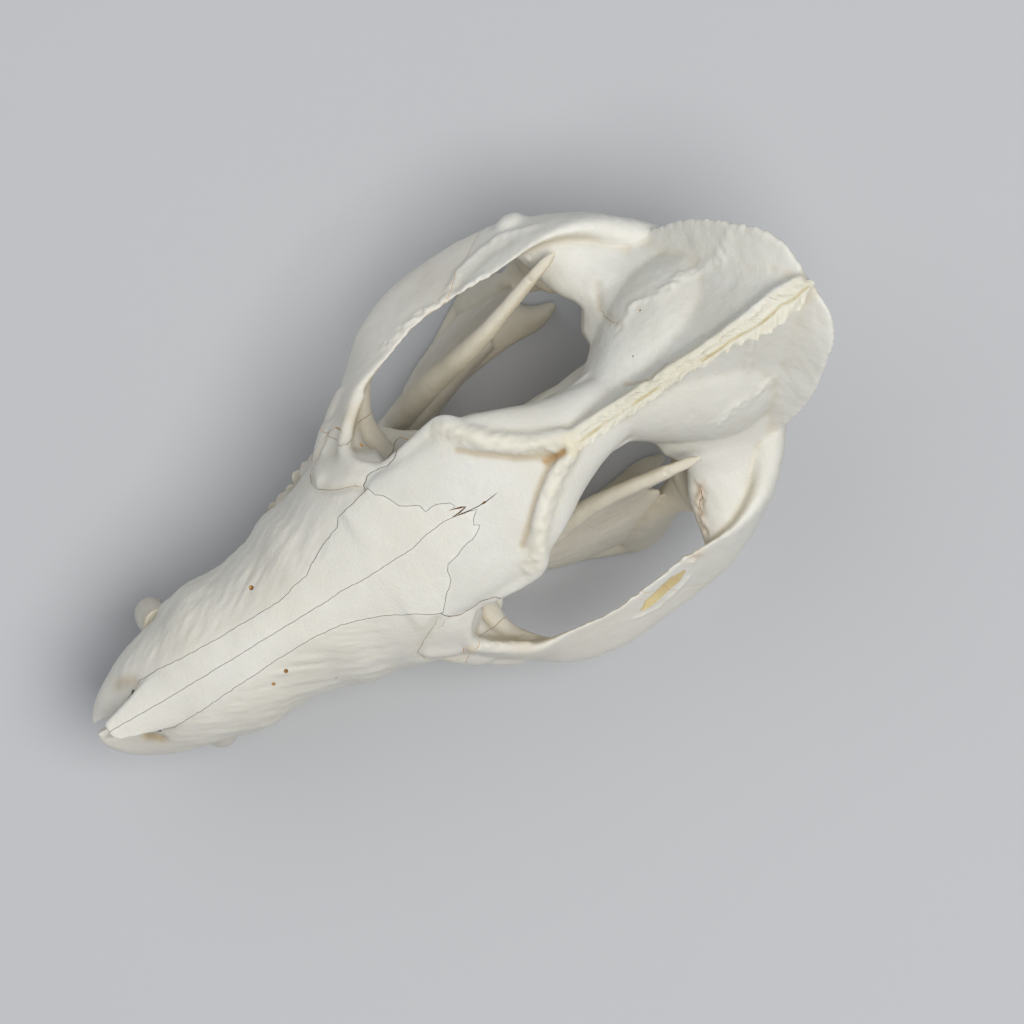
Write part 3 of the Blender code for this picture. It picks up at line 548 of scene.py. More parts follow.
@dataclass(frozen=True)
class Stance:
    """How the cranium and the lower jaw stand on the floor."""

    skull_length: float = 125.0
    gum_height: float = 22.8
    roll: float = math.radians(4.2)
    jaw_yaw: float = math.radians(1.8)
    jaw_pivot: float = 8.0
    jaw_shift: float = 0.4

    def cranium(self) -> Matrix:
        """From the cranium's tables to the floor's frame."""
        lift = Matrix.Translation((0, -self.skull_length / 2, self.gum_height))
        return lift @ Matrix.Rotation(self.roll, 4, "Y")

    def jaw(self) -> Matrix:
        """From the jaw's tables to the floor's frame."""
        back = Matrix.Translation((0, -self.jaw_pivot, 0))
        there = Matrix.Translation((self.jaw_shift, self.jaw_pivot - self.skull_length / 2, 0))
        return there @ Matrix.Rotation(self.jaw_yaw, 4, "Z") @ back


@dataclass(frozen=True)
class PhotoCamera:
    """The camera that looks down on the skull, and the scale of its picture.

    The target and the distance are mm, and the far end of its sight is metres. The nose's
    place and the picture's width are in pixels.
    """

    distance: float = 700.0
    target: Row = (6.24, 8.33, 45.0)
    turn: float = math.radians(56.3)
    lens: float = 164.6
    sensor: float = 36.0
    far_end: float = 20.0
    picture: float = 1024.0
    nose_at: Row = (107.0, 738.0)
    pixels_per_mm: float = 6.69
    across: Row = (0.5417, 0.8406)

    def axes(self) -> tuple[Vector, Vector, Vector]:
        """Right, up and backward directions of the camera."""
        back = Vector((0, 0, 1))
        upward = Vector((-math.sin(self.turn), math.cos(self.turn), 0))
        return upward.cross(back), upward, back

    def place(self) -> Vector:
        """Where the camera stands, mm."""
        return Vector(self.target) + self.axes()[2] * self.distance

    def ray(self, x: float, y: float) -> tuple[Vector, Vector]:
        """Start and direction of the line of sight to a point given as it appears."""
        cos, sin = self.across
        px = self.nose_at[0] + self.pixels_per_mm * (x * cos + y * sin) - self.picture / 2
        py = self.nose_at[1] + self.pixels_per_mm * (x * sin - y * cos) - self.picture / 2
        right, upward, back = self.axes()
        per_pixel = self.sensor / self.lens / self.picture
        return self.place(), (right * px * per_pixel - upward * py * per_pixel - back).normalized()


class Skin:
    """The surface of one bone, on which lines are drawn as the camera sees them."""

    def __init__(self, thing: Thing, seat: Matrix, camera: PhotoCamera) -> None:
        """Reads the bone's surface.

        Args:
            thing: The bone, in the frame of its tables.
            seat: From its tables to the floor's frame.
            camera: The camera that sees it from above.
        """
        graph = bpy.context.evaluated_depsgraph_get()
        self.tree = BVHTree.FromObject(thing, graph)
        self.back = seat.inverted()
        self.camera = camera

    def sight(self, x: float, y: float) -> tuple[Vector, Vector]:
        """Start and direction, in the tables' frame, of the line of sight to a drawn point."""
        start, ahead = self.camera.ray(x, y)
        return self.back @ start, self.back.to_3x3() @ ahead

    def find(self, x: float, y: float) -> tuple[Vector, Vector] | None:
        """The drawn point on the bone and its outward direction, or None where it misses."""
        place, normal, _, _ = self.tree.ray_cast(*self.sight(x, y))
        return None if place is None else (place, normal)

    def at_height(self, x: float, y: float, z: float) -> tuple[float, float]:
        """Plan position of a point seen from above at a known height."""
        start, ahead = self.sight(x, y)
        place = start + ahead * ((z - start.z) / ahead.z)
        return place.x, place.y


def finer(line: Table, pitch: float, waver: float, seed: int) -> list[tuple[float, float]]:
    """A drawn line with more points, which swing from side to side.

    Args:
        line: Points of the line in the plane of the drawing.
        pitch: Distance between the new points.
        waver: How far they swing.
        seed: Which swings to take.

    Returns:
        The new points. The ends keep their places.
    """
    dice = random.Random(seed)
    points = []
    for (x0, y0), (x1, y1) in zip(line[:-1], line[1:]):
        length = max(math.hypot(x1 - x0, y1 - y0), 1e-6)
        count = max(1, round(length / pitch))
        for i in range(count):
            t = i / count
            off = dice.uniform(-waver, waver) if points else 0.0
            points.append((x0 + (x1 - x0) * t - (y1 - y0) / length * off,
                           y0 + (y1 - y0) * t + (x1 - x0) / length * off))
    points.append(tuple(line[-1]))
    return points


@dataclass(frozen=True)
class Stroke:
    """A soft ridge or dent along a drawn line, with its tint. Most tints are stains; the white one is painted
    highlight on ridges.

    Rough and cell are the height and the size of its unevenness, and strength is the tint's share.
    """

    line: Table
    width: float
    rise: float = 0.0
    rough: float = 0.0
    tint: Colour | None = None
    strength: float = 0.5
    cell: float = 0.9

    def trace(self, skin: Skin) -> Array:
        """The stroke's places on the bone, one row each."""
        return np.array([place for place, _ in traced(skin, finer(self.line, STROKE_PITCH, 0.0, 0))])


@dataclass(frozen=True)
class Groove:
    """A suture or crack along a drawn line.

    Its cutter is a thin wedge: it stands out of the bone, where it is wider, narrows to its
    floor by a share, and tapers from each end by a share for each of its rings.
    """

    line: Table
    width: float = 0.22
    depth: float = 0.6
    waver: float = 0.18
    pitch: float = 0.45
    stain: int = 1
    floor: float = 0.4
    shortest: float = 0.12
    stands_out: float = 0.35
    flare: float = 1.4
    end: float = 0.25
    taper: float = 0.4


@dataclass(frozen=True)
class Pore:
    """A small hole: the drawn point, its half sizes across and along, and its depth."""

    x: float
    y: float
    wide: float = 0.4
    long: float = 0.5
    deep: float = 1.2
    stain: int = 1


def traced(skin: Skin, line: Sequence[Row]) -> list[tuple[Vector, Vector]]:
    """The drawn points that meet the bone, with their outward directions."""
    found = [skin.find(x, y) for x, y in line]
    return [item for item in found if item is not None]


def curtain(skin: Skin, groove: Groove, seed: int) -> Solid | None:
    """The thin wedge that cuts a groove, or None where its line misses the bone."""
    found = traced(skin, finer(groove.line, groove.pitch, groove.waver, seed))
    path = [found[0]] if found else []
    for place, normal in found[1:]:
        if groove.shortest < (place - path[-1][0]).length:
            path.append((place, normal))
    if len(path) < 3:
        return None
    rings = []
    last = len(path) - 1
    for i, (place, normal) in enumerate(path):
        ahead = (path[min(i + 1, last)][0] - path[max(i - 1, 0)][0]).normalized()
        normal = (normal + path[max(i - 1, 0)][1] + path[min(i + 1, last)][1]).normalized()
        across = normal.cross(ahead).normalized()
        taper = min(1.0, groove.end + groove.taper * min(i, last - i))
        half = groove.width / 2 * taper
        deep = groove.depth * taper
        out = normal * groove.stands_out
        rings.append([place + out + across * half * groove.flare, place + out - across * half * groove.flare,
                      place - normal * deep - across * half * groove.floor,
                      place - normal * deep + across * half * groove.floor])
    return loft(rings, groove.stain)


def drill(skin: Skin, pore: Pore) -> Solid | None:
    """The ellipsoid that opens a pore, sunk along the bone's outward direction."""
    found = skin.find(pore.x, pore.y)
    if found is None:
        return None
    place, normal = found
    turn = normal.to_track_quat("Z", "Y").to_matrix().to_4x4()
    size = Matrix.Diagonal((pore.wide, pore.long, pore.deep, 1.0))
    return ball(Matrix.Translation(place) @ turn @ size, PORE_CELLS, pore.stain)


# Finishes


class Graph:
    """A material's node tree, built by name on the piece's own coordinates."""

    def __init__(self, name: str) -> None:
        """Starts a material with only its shader and output."""
        self.material = bpy.data.materials.new(name)
        self.material.use_nodes = True
        self.tree = self.material.node_tree
        self.shader = self.tree.nodes["Principled BSDF"]
        self.where = self.add("TexCoord").outputs["Object"]

    def add(self, kind: str, inputs: dict[str, object] | None = None, **settings: object) -> bpy.types.Node:
        """Adds a node, sets it, and gives its inputs values or links."""
        node = self.tree.nodes.new("ShaderNode" + kind)
        for key, value in settings.items():
            setattr(node, key, value)
        for key, value in (inputs or {}).items():
            socket = node.inputs[int(key)] if key.isdigit() else node.inputs[key]
            self.feed(socket, value)
        return node

    def feed(self, socket: bpy.types.NodeSocket, value: object) -> None:
        """Gives an input a value, or a link where the value is an output."""
        if isinstance(value, bpy.types.NodeSocket):
            self.tree.links.new(value, socket)
        else:
            socket.default_value = value

    def noise(self, scale: float, detail: float = 3.0, stretch: Row = (1, 1, 1)) -> bpy.types.NodeSocket:
        """Noise with so many cells to the metre, stretched along the axes."""
        mapped = self.add("Mapping", {"Vector": self.where, "Scale": stretch})
        made = self.add("TexNoise", {"Vector": mapped.outputs[0], "Scale": scale, "Detail": detail})
        return made.outputs["Fac"]

    def ramp(self, value: bpy.types.NodeSocket, low: float, high: float, start: float,
             end: float) -> bpy.types.NodeSocket:
        """Maps a range of values to another, held at its ends."""
        return self.add("MapRange", {"Value": value, "From Min": low, "From Max": high, "To Min": start,
                                     "To Max": end}).outputs[0]

    def mix(self, factor: object, first: object, second: object, kind: str = "MIX") -> bpy.types.NodeSocket:
        """Mixes two colours."""
        sockets = {"0": factor, "6": first, "7": second}
        return self.add("Mix", sockets, data_type="RGBA", blend_type=kind).outputs[2]

    def bump(self, height: bpy.types.NodeSocket, strength: float, depth: float) -> bpy.types.NodeSocket:
        """Fine relief from a height, with its depth in metres."""
        return self.add("Bump", {"Height": height, "Strength": strength, "Distance": depth}).outputs[0]

    def finish(self, inputs: dict[str, object]) -> bpy.types.Material:
        """Gives the shader its inputs and returns the material."""
        for name, value in inputs.items():
            self.feed(self.shader.inputs[name], value)
        return self.material


def rgba(colour: Colour) -> tuple[float, float, float, float]:
    """A colour with full alpha."""
    return (*colour, 1.0)


@dataclass(frozen=True)
class BoneFinish:
    """Dry, cleaned bone: mottled ivory with faint pores and streaks.

    Each spread maps a range of the noise to a share of the shade, or to a change of roughness.
    """

    name: str
    colour: Colour
    shade: Colour
    cloud: Row = (90.0, 4.0)
    cloud_spread: Row = (0.35, 0.68, 0.0, 0.75)
    speck: Row = (650.0, 3.0)
    speck_spread: Row = (0.5, 0.75, 0.0, 0.35)
    streak: Row = (900.0, 4.0)
    streak_stretch: Row = (1.0, 0.28, 1.0)
    pits: Row = (2300.0, 2.0)
    grain: float = 0.42
    grain_depth: float = 0.00016
    roughness: float = 0.52
    rough_spread: Row = (0.3, 0.7, -0.05, 0.07)
    subsurface: float = 0.12
    subsurface_radius: Row = (1.0, 0.8, 0.55)
    subsurface_scale: float = 0.0012
    specular: float = 0.42

    def build(self) -> bpy.types.Material:
        """Makes the material."""
        graph = Graph(self.name)
        cloud = graph.noise(*self.cloud)
        speck = graph.ramp(graph.noise(*self.speck), *self.speck_spread)
        base = graph.mix(graph.ramp(cloud, *self.cloud_spread), rgba(self.colour), rgba(self.shade))
        base = graph.mix(speck, base, rgba(self.shade))
        # The tint attribute holds stains together with painted shade in hollows and painted highlight on
        # ridges
        tint = graph.add("Attribute", attribute_name="tint").outputs["Color"]
        streak = graph.noise(*self.streak, self.streak_stretch)
        height = graph.add("Math", {"0": streak, "1": graph.noise(*self.pits)}, operation="ADD").outputs[0]
        low, high, less, more = self.rough_spread
        return graph.finish({
            "Base Color": graph.mix(1.0, base, tint, "MULTIPLY"),
            "Normal": graph.bump(height, self.grain, self.grain_depth),
            "Roughness": graph.ramp(cloud, low, high, self.roughness + less, self.roughness + more),
            "Subsurface Weight": self.subsurface,
            "Subsurface Radius": self.subsurface_radius,
            "Subsurface Scale": self.subsurface_scale,
            "Specular IOR Level": self.specular,
        })


@dataclass(frozen=True)
class StainFinish:
    """The dirt and grease that a suture or a broken hollow holds."""

    name: str
    colour: Colour
    dark: Colour
    cloud: Row = (260.0, 3.0)
    cloud_spread: Row = (0.4, 0.62, 0.0, 1.0)
    crumbs: Row = (1500.0, 3.0)
    grain: float = 0.4
    grain_depth: float = 0.0001
    roughness: float = 0.75

    def build(self) -> bpy.types.Material:
        """Makes the material."""
        graph = Graph(self.name)
        cloud = graph.ramp(graph.noise(*self.cloud), *self.cloud_spread)
        return graph.finish({
            "Base Color": graph.mix(cloud, rgba(self.colour), rgba(self.dark)),
            "Normal": graph.bump(graph.noise(*self.crumbs), self.grain, self.grain_depth),
            "Roughness": self.roughness,
        })


@dataclass(frozen=True)
class EnamelFinish:
    """Teeth: smooth pale enamel in two tones."""

    name: str
    colour: Colour
    shade: Colour
    cloud: Row = (180.0, 3.0)
    cloud_spread: Row = (0.35, 0.7, 0.0, 1.0)
    lines: Row = (1300.0, 2.0)
    lines_stretch: Row = (1.0, 1.0, 0.15)
    grain: float = 0.15
    grain_depth: float = 0.00008
    roughness: float = 0.32
    subsurface: float = 0.1
    subsurface_scale: float = 0.0008
    coat: float = 0.06
    coat_roughness: float = 0.2

    def build(self) -> bpy.types.Material:
        """Makes the material."""
        graph = Graph(self.name)
        cloud = graph.ramp(graph.noise(*self.cloud), *self.cloud_spread)
        lines = graph.noise(*self.lines, self.lines_stretch)
        return graph.finish({
            "Base Color": graph.mix(cloud, rgba(self.colour), rgba(self.shade)),
            "Normal": graph.bump(lines, self.grain, self.grain_depth),
            "Roughness": self.roughness,
            "Subsurface Weight": self.subsurface,
            "Subsurface Scale": self.subsurface_scale,
            "Coat Weight": self.coat,
            "Coat Roughness": self.coat_roughness,
        })


@dataclass(frozen=True)
class FloorFinish:
    """The plain pale floor."""

    name: str
    colour: Colour
    cloud: Row = (9.0, 2.0)
    darkest: float = 0.97
    roughness: float = 0.8

    def build(self) -> bpy.types.Material:
        """Makes the material."""
        graph = Graph(self.name)
        shade = tuple(self.darkest * part for part in self.colour)
        return graph.finish({
            "Base Color": graph.mix(graph.noise(*self.cloud), rgba(self.colour), rgba(shade)),
            "Roughness": self.roughness,
        })


SUTURE_STAIN = StainFinish("suture_stain", (0.78, 0.50, 0.20), (0.50, 0.29, 0.10))
YELLOW_STAIN = StainFinish("yellow_stain", (0.74, 0.62, 0.34), (0.62, 0.50, 0.26))
ROSTRUM_BONE = BoneFinish("rostrum_bone", (0.80, 0.775, 0.70), (0.72, 0.69, 0.60))
BRAINCASE_BONE = BoneFinish("braincase_bone", (0.765, 0.755, 0.70), (0.70, 0.68, 0.60))
NASAL_BONE = BoneFinish("nasal_bone", (0.80, 0.785, 0.715), (0.755, 0.73, 0.645), grain=0.5)
ARCH_BONE = BoneFinish("arch_bone", (0.79, 0.765, 0.695), (0.715, 0.68, 0.59))
JAW_BONE = BoneFinish("jaw_bone", (0.70, 0.655, 0.545), (0.60, 0.55, 0.44))
# The enamel is greyed below its own colour: painted shade, as the teeth are seen in shadow under the cranium
SHADED_ENAMEL = EnamelFinish("enamel", (0.68, 0.65, 0.56), (0.58, 0.52, 0.40))
FLOOR = FloorFinish("floor", (0.56, 0.57, 0.59))


# The cranium


@dataclass(frozen=True)
class CrestEdge:
    """The ragged edge along the top of the braincase, with its groove.

    Its middle and its widths to the right and left stand beside their place along the head.
    """

    middle: Table = (
        (80.9, 1.2), (84, 1), (90, 0.7), (97.9, 0.6), (102.7, 0.5), (106, 0.8), (110.2, 0.6), (114.1, 0.9),
        (116.9, 0.6), (118.4, 0.2), (119.7, 0.4), (121.2, 0.4), (122.6, 0.1), (124.6, 0),
    )
    widths: Table = (
        (80.9, 0.3, 0.3), (82.5, 0.9, 0.9), (86, 1.1, 1.1), (92, 1.2, 1.2), (98, 1.1, 1), (104, 0.95, 0.95),
        (110, 1.05, 1.1), (114, 1.55, 1.6), (116.5, 1.75, 2.2), (119, 1.75, 2.4), (121.5, 1.8, 1.8),
        (123.4, 1.5, 1.1), (124.6, 0.7, 0.5),
    )
    pitch: float = 0.13
    cells: int = 22
    stands_up: float = 0.15
    sunk: float = 1.5
    foot: float = 0.72
    # How far its upper edge and its foot sweep forward, as a share of the width
    sweep: Row = (0.5, 0.35)
    rounding: float = 0.3
    # Spread of the teeth across, back and from side to side
    spread: Row = (3, 0.45, 5)
    saw: tuple[Relief, ...] = (Relief(1.0, (2.4, 0.8, 3.0), 31), Relief(0.6, (1.6, 0.36, 3.0), 32))
    flake: float = 0.17
    # Raggedness of a narrow edge, its growth with the width, the most growth, and where it starts
    ragged: Row = (0.1, 0.13, 1.6, 0.6)
    groove_depth: float = 0.4
    groove_half: float = 0.18
    groove_start: float = 3.0
    groove_kept: float = 0.6
    breaks: tuple[Relief, ...] = (Relief(0.9, (1.0, 1.6, 1.0), 33),)

    def body(self, skin: Skin, height: Callable[[float], float]) -> Solid:
        """The edge as a closed body.

        Args:
            skin: The bone that it is drawn on.
            height: Height of the cranium's middle line at a place along it.

        Returns:
            The body.
        """
        wide, back, apart = self.spread
        least, growth, most, start = self.ragged
        rings = []
        for y in span(self.widths, self.pitch):
            top = height(y) + self.stands_up
            middle, _ = skin.at_height(read_table(self.middle, y)[1], y, top)
            _, right, left = read_table(self.widths, y)
            kept = self.groove_kept + float(relief(np.array([[0.0, y, 0.0]]), self.breaks)[0])
            groove = self.groove_depth * max(0.0, kept)
            begun = min(1.0, (y - self.middle[0][0]) / self.groove_start)
            upper, lower = [], []
            for k in range(self.cells + 1):
                u = 2 * k / self.cells - 1
                half = left if u > 0 else right
                spot = np.array([[middle + wide * u, y + back * abs(u), apart * math.copysign(1, u)]])
                saw = float(relief(spot, self.saw)[0])
                reach = half * u * (1 + (least + growth * min(most, half - start)) * saw * abs(u) ** 2)
                flake = self.flake * saw * min(1.0, 2 * abs(u))
                dent = groove * math.exp(-(half * u / self.groove_half) ** 2) * begun
                z = top - self.rounding * abs(u) ** 3 - dent + flake
                upper.append((middle + reach, y - self.sweep[0] * abs(reach), z))
                lower.append((middle + reach * self.foot, y - self.sweep[1] * abs(reach), top - self.sunk))
            rings.append(upper + lower[::-4])
        return loft(rings)

    def line(self, skin: Skin, height: Callable[[float], float]) -> Array:
        """The middle of the edge in plan, one row for each place."""
        spots = ((skin.at_height(read_table(self.middle, y)[1], y, height(y))[0], y)
                 for y in span(self.middle, 1.0))
        return np.array([Vector((x, y, 0)) for x, y in spots])


@dataclass
class Cranium:
    """The cranium: its form from tables, its sutures, scars and pores, and its six parts."""

    bend: Table = (
        (-3, -0.2), (12, 0.1), (28, 0.4), (48, 0.8), (60, 0.8), (74, 0.2), (88, -0.2), (106, -0.2),
        (116, -0.6), (125, -0.5),
    )
    top_line: Table = (
        (0.8, 14.2), (8, 16), (15, 18.5), (27, 22.4), (40, 26), (52, 30), (60, 32.4), (69, 34.3),
        (80, 35.5), (90, 36.4), (100, 38), (110, 39.4), (118, 40), (125, 38.4),
    )
    snout: Table = (
        (-2.7, 1.8, 3.2, 1.2, 2), (-1.4, 3.8, 3.2, 0.6, 2), (0.5, 5.5, 3.2, 0.3, 2.1),
        (3, 7, 3.2, 0.1, 2.1), (6, 8.5, 3.6, 0, 2.2), (10, 9.7, 4.5, 0, 2.2), (15, 10.8, 5, 0, 2.2),
        (20, 12.6, 5, 0, 2.15), (27, 12.3, 5, 0, 2.1), (33, 13.3, 5.2, 0, 2.1), (37, 15.2, 5.6, 0, 2.15),
        (41, 15.6, 6, 0, 2.2), (46, 17.1, 7.5, 0.5, 2.4), (52, 18, 11, 2, 2.7), (57.5, 14.5, 15, 6, 2.8),
    )
    snout_top: Table = (
        (-2.7, 4.6), (-1.4, 5.6), (0.5, 7), (3, 9.4), (6, 12.4), (9, 15.2), (12, 17.3), (15, 18.5),
    )
    forehead: Table = (
        (48, 11, 25, 17), (54, 12, 27, 19), (60, 12.2, 28.8, 21.5), (66, 12.2, 30.6, 24),
        (69, 12.2, 31.4, 25), (72, 11.4, 31.6, 24), (76, 9.6, 31, 24), (80, 7.6, 30, 23), (84, 6.2, 28, 21),
        (89, 5.2, 26, 19), (97, 3.4, 23, 18),
    )
    forehead_drop: Table = ((48, 0), (72, 0.2), (78, 0.8), (84, 2.6), (89, 5), (97, 10))
    orbit_wall: Table = (
        (48, 13, 28, 12, 2), (56, 10.4, 30.5, 12, 2.2), (62, 8.2, 31.5, 13, 2.6), (70, 6.4, 32, 18, 3),
        (78, 5.2, 32, 24, 3.6), (86, 4, 31, 25, 4), (93, 5, 28, 20, 5), (98, 4, 25, 18, 7),
    )
    braincase: Table = (
        (86, 4, 30, 21, 4.2), (90, 6.4, 30.4, 19, 3.8), (94, 9.6, 31, 17, 3.5), (98, 12.2, 31.4, 16, 3.2),
        (102, 14.2, 31.6, 15, 3), (106, 15, 31.2, 15, 3), (111, 14.2, 30, 15, 3.2),
        (115, 12.4, 28, 15, 3.6), (118.6, 8.8, 24, 15, 5),
    )
    palate: Table = (
        (5, 5.6, 5.5, 3, 0.1), (14, 9.4, 6, 3, 0), (20, 10.4, 6, 3, 0), (30, 11.2, 6, 3, 0),
        (36, 13.6, 6.5, 3, 0), (44, 16.4, 7, 3.2, 0), (50, 18.4, 7.4, 3.4, 0), (56, 19, 7.6, 3.4, 0),
        (59, 17.6, 7.4, 3.2, 0.2), (62, 14.4, 6.4, 3.4, 1), (66, 12, 6, 3.6, 1.8), (70, 10.8, 6, 3.8, 2),
        (73.5, 9.8, 5.6, 4, 2.4),
    )
    palate_hollow: Table = (
        (13, 3, 1.4), (22, 5, 2.2), (32, 6.2, 2.8), (42, 7.6, 3.4), (54, 8.8, 3.6), (64, 8.6, 3.8),
        (71, 7, 3.4),
    )
    cheek_arch: Table = (
        (12, 44.5, 12, 5.6, 3, 5), (15.8, 50, 11.8, 7.2, 2.6, 8), (20.4, 55.2, 10.8, 7.4, 2.2, 6),
        (24.4, 60.2, 9.4, 6.8, 2, 8), (27.4, 66, 8.4, 6.6, 1.8, 24), (29.3, 73, 8, 6.8, 1.7, 27),
        (29.4, 80, 8.8, 7, 1.7, 27), (29, 86, 10.2, 6.8, 1.8, 28), (28.5, 91.4, 12, 5.8, 1.9, 27),
        (27.2, 96.6, 13.2, 4.8, 2.2, 16), (24.4, 102, 13.6, 4.1, 2.6, 6), (20, 106.6, 12.8, 3.4, 3, 0),
        (15, 110.6, 12.6, 3, 3.2, 0),
    )
    blade: Row = (0.8, 0.18, 0.36)
    full_lean: float = 25.0
    temple: Table = (
        (93, 11, 15.6, 28.5), (97, 16.4, 14.6, 30.4), (101, 19, 14.4, 32), (106, 18.6, 14.8, 33.4),
        (110, 17.6, 15.4, 34.6), (114, 15.8, 20.6, 35.6), (118, 13, 26.4, 36.2), (121.5, 9.8, 31, 36.4),
    )
    temple_inner: float = 2.2
    temple_fall: float = 1.1
    temple_depth: float = 4.5
    shelf: Table = (
        (7, 102.8, 14.4, 7, 5.6), (13.5, 102.2, 13.8, 7, 4.8), (18.5, 99.8, 12.5, 6.9, 4),
        (23, 97.2, 12.3, 5.6, 3.7), (27.6, 94, 12.2, 3.4, 3.2),
    )
    orbit_floor: Table = (
        (9, 55.4, 8, 4.8, 3.4), (14, 55.2, 8.4, 4.6, 3.2), (18.6, 55.3, 8.6, 4.4, 3.3),
        (22.6, 57.6, 8.8, 4.3, 3.2), (25.2, 60.8, 9, 3.4, 2.8),
    )
    orbit_bowl: Table = (
        (9, 52.2, 14.5, 4.6, 5), (14, 52, 13.6, 4.4, 4.6), (18.2, 52.6, 11.6, 4.4, 4),
        (22, 56, 9.6, 4, 3.4),
    )
    mid_crest: Table = (
        (79, 1, 26), (84, 1.2, 24), (95, 1.1, 24), (106, 1.2, 24), (114, 1.4, 27), (119, 1.8, 31),
        (123.8, 1.3, 35),
    )
    arch_bump: Row = (30.2, 93, 9.4, 1.9, 2.7, 2.4)
    occiput: Row = (0, 116.6, 25.5, 5, 3.4, 6)
    crest_spread: float = 5.0
    back_rim: Table = (
        (0, 124.4, 37.6), (5.4, 124.5, 36.8), (9.8, 123, 34.6), (12.8, 120.2, 30.8), (15.7, 117, 26),
        (17.4, 113.8, 21), (18.4, 110.2, 15.5), (18.2, 108.2, 10), (16.2, 109.2, 5),
    )
    back_centre: Row = (0, 112, 20)
    rim_thickness: Row = (0.75, 0.30)
    brow_line: Table = (
        (0.9, 82, 34.7, 1.2), (2.8, 77.6, 34.3, 1.4), (5.6, 73.4, 33.9, 1.6), (8.9, 70.4, 33, 1.7),
        (11.9, 68.6, 31.6, 1.6), (12.8, 66.2, 30, 1.5), (12.5, 61, 28.6, 1.2), (12.3, 56.8, 26.6, 1),
        (14.4, 54, 24.2, 1), (16.6, 53.2, 21, 1.1), (18.6, 54.4, 18.6, 1.1), (20.8, 56.8, 17, 1),
        (22.9, 60.2, 15.4, 0.9),
    )
    canine_bulge: Table = (
        (9.2, 15.8, 1.6, 2.6), (9.6, 18.4, 6, 2.7), (8.9, 22, 11.5, 2.3), (7.8, 25.5, 15.5, 1.4),
    )
    nasal_thickness: float = 1.7
    nasal: Table = (
        (-0.1, 1.9), (3, 2.6), (6, 3.4), (9, 4.2), (14, 4.1), (20, 3.7), (30, 3.6), (36, 4.1), (42, 5.7),
        (46, 7.6), (50, 9.8), (52.6, 10.6), (54.6, 9), (56.6, 6.4), (59, 4.4), (61.6, 2.8), (63.8, 1),
    )
    nasal_arching: Table = ((0, 0.07), (30, 0.062), (42, 0.04), (52, 0.022), (64, 0.012))
    base_lumps: Table = (
        (6, 119.6, 9.5, 3.4, 3.6, 4.8), (10.4, 100.6, 4, 3.2, 4.6, 3.6), (14.2, 110.8, 3.4, 1.9, 2.4, 4.8),
        (15.8, 108.8, 8, 2.6, 3.4, 5.6), (18.6, 100, 7.4, 4.8, 1.6, 3.6), (5.6, 79.5, 4.2, 0.9, 6.8, 3.6),
        (3.2, 96, 4.4, 3.4, 20, 2.6),
    )
    hollows: Table = (
        (0, 120.5, 14.6, 5, 8.5, 4.6), (21, 94.8, 6.2, 6.8, 3.5, 3.4), (18.5, 103.6, 9.6, 4.6, 1.8, 2.1),
        (2.2, 77, 5.4, 2.2, 9, 2.6), (8.7, 10.8, 0.2, 2.3, 2, 3.8),
    )
    nostril: Table = (
        (-3, 0.7, 12, 8, 4.2), (0, 1.2, 12.4, 8, 4), (3, 2, 12.8, 8, 3.8), (5, 3, 13.2, 8.4, 3.8),
        (6.7, 4.7, 13.6, 9.6, 4), (8.4, 4.6, 14, 9.6, 4.2), (11, 3.9, 14.2, 9.6, 4.8),
        (16, 3.4, 14.5, 10.5, 6.5), (20, 1.6, 13, 11, 9),
    )
    notch: Row = (-1.35, -1.5, 4.5, 0.8, 2, 6.2)
    # Closed outline of each nasal bone from the front along its outer edge, as seen from above
    nasal_right: Table = (
        (-2.4, 0.4), (-2.9, 2), (-3.1, 4), (-3.6, 6), (-4.4, 8.6), (-4.4, 12), (-3.9, 16), (-3.5, 22),
        (-3.3, 28), (-3.2, 33.2), (-3.9, 35.9), (-4.2, 38.2), (-5.2, 39.7), (-6.2, 41.5), (-7.2, 44.1),
        (-7.8, 45.9), (-8.8, 46.8), (-9.3, 48.5), (-9.7, 50.8), (-10.2, 52.9), (-8.8, 53.4), (-8.4, 54),
        (-7.4, 54.7), (-5.5, 55.5), (-4.4, 57.2), (-3.9, 58), (-2.7, 58.3), (-2.7, 60.2), (-1.8, 62.1),
        (-1, 62.5), (-0.8, 61.5), (-0.6, 62.8), (0, 63.8), (0.3, 61.4),
    )
    nasal_middle: Table = (
        (0.3, 61.4), (0.1, 59.8), (0.3, 56.5), (0.9, 53.8), (0.9, 48.7), (0.9, 45.3), (0.5, 41.7),
        (0.6, 38.9), (0.4, 30), (0.2, 20), (-0.1, 10), (-0.6, 0.2),
    )
    nasal_left: Table = (
        (1.2, 1.6), (2.2, 4.2), (3.4, 7), (4.2, 9.2), (4.3, 14), (4.1, 20), (4, 28), (4.1, 34), (4.8, 38.5),
        (6, 42.2), (7.5, 45.4), (9.4, 48.6), (10.8, 50.6), (11.6, 52.4), (9.8, 53.9), (8.1, 56),
        (6.6, 56.3), (5.8, 56.9), (5.4, 58.9), (4.9, 60.3), (4.6, 61.9), (4.1, 63.3), (3.4, 64.1),
        (2.9, 63.3), (2.1, 63.8), (1.2, 65), (0.5, 62.4), (0.3, 61.4),
    )
    # Front edge of the frontal bone beside the nasals, seen from above: out to the orbit's rim
    frontal_right: Table = (
        (-8, 51.6), (-10.9, 52.7), (-11.8, 53.9), (-11.8, 55.3), (-11.4, 57.3), (-11.8, 58.7), (-12.8, 60),
    )
    frontal_left: Table = (
        (9, 51.6), (12, 52.3), (13.2, 54), (13.4, 56), (13.2, 58.2), (13.8, 60), (14.6, 61),
    )
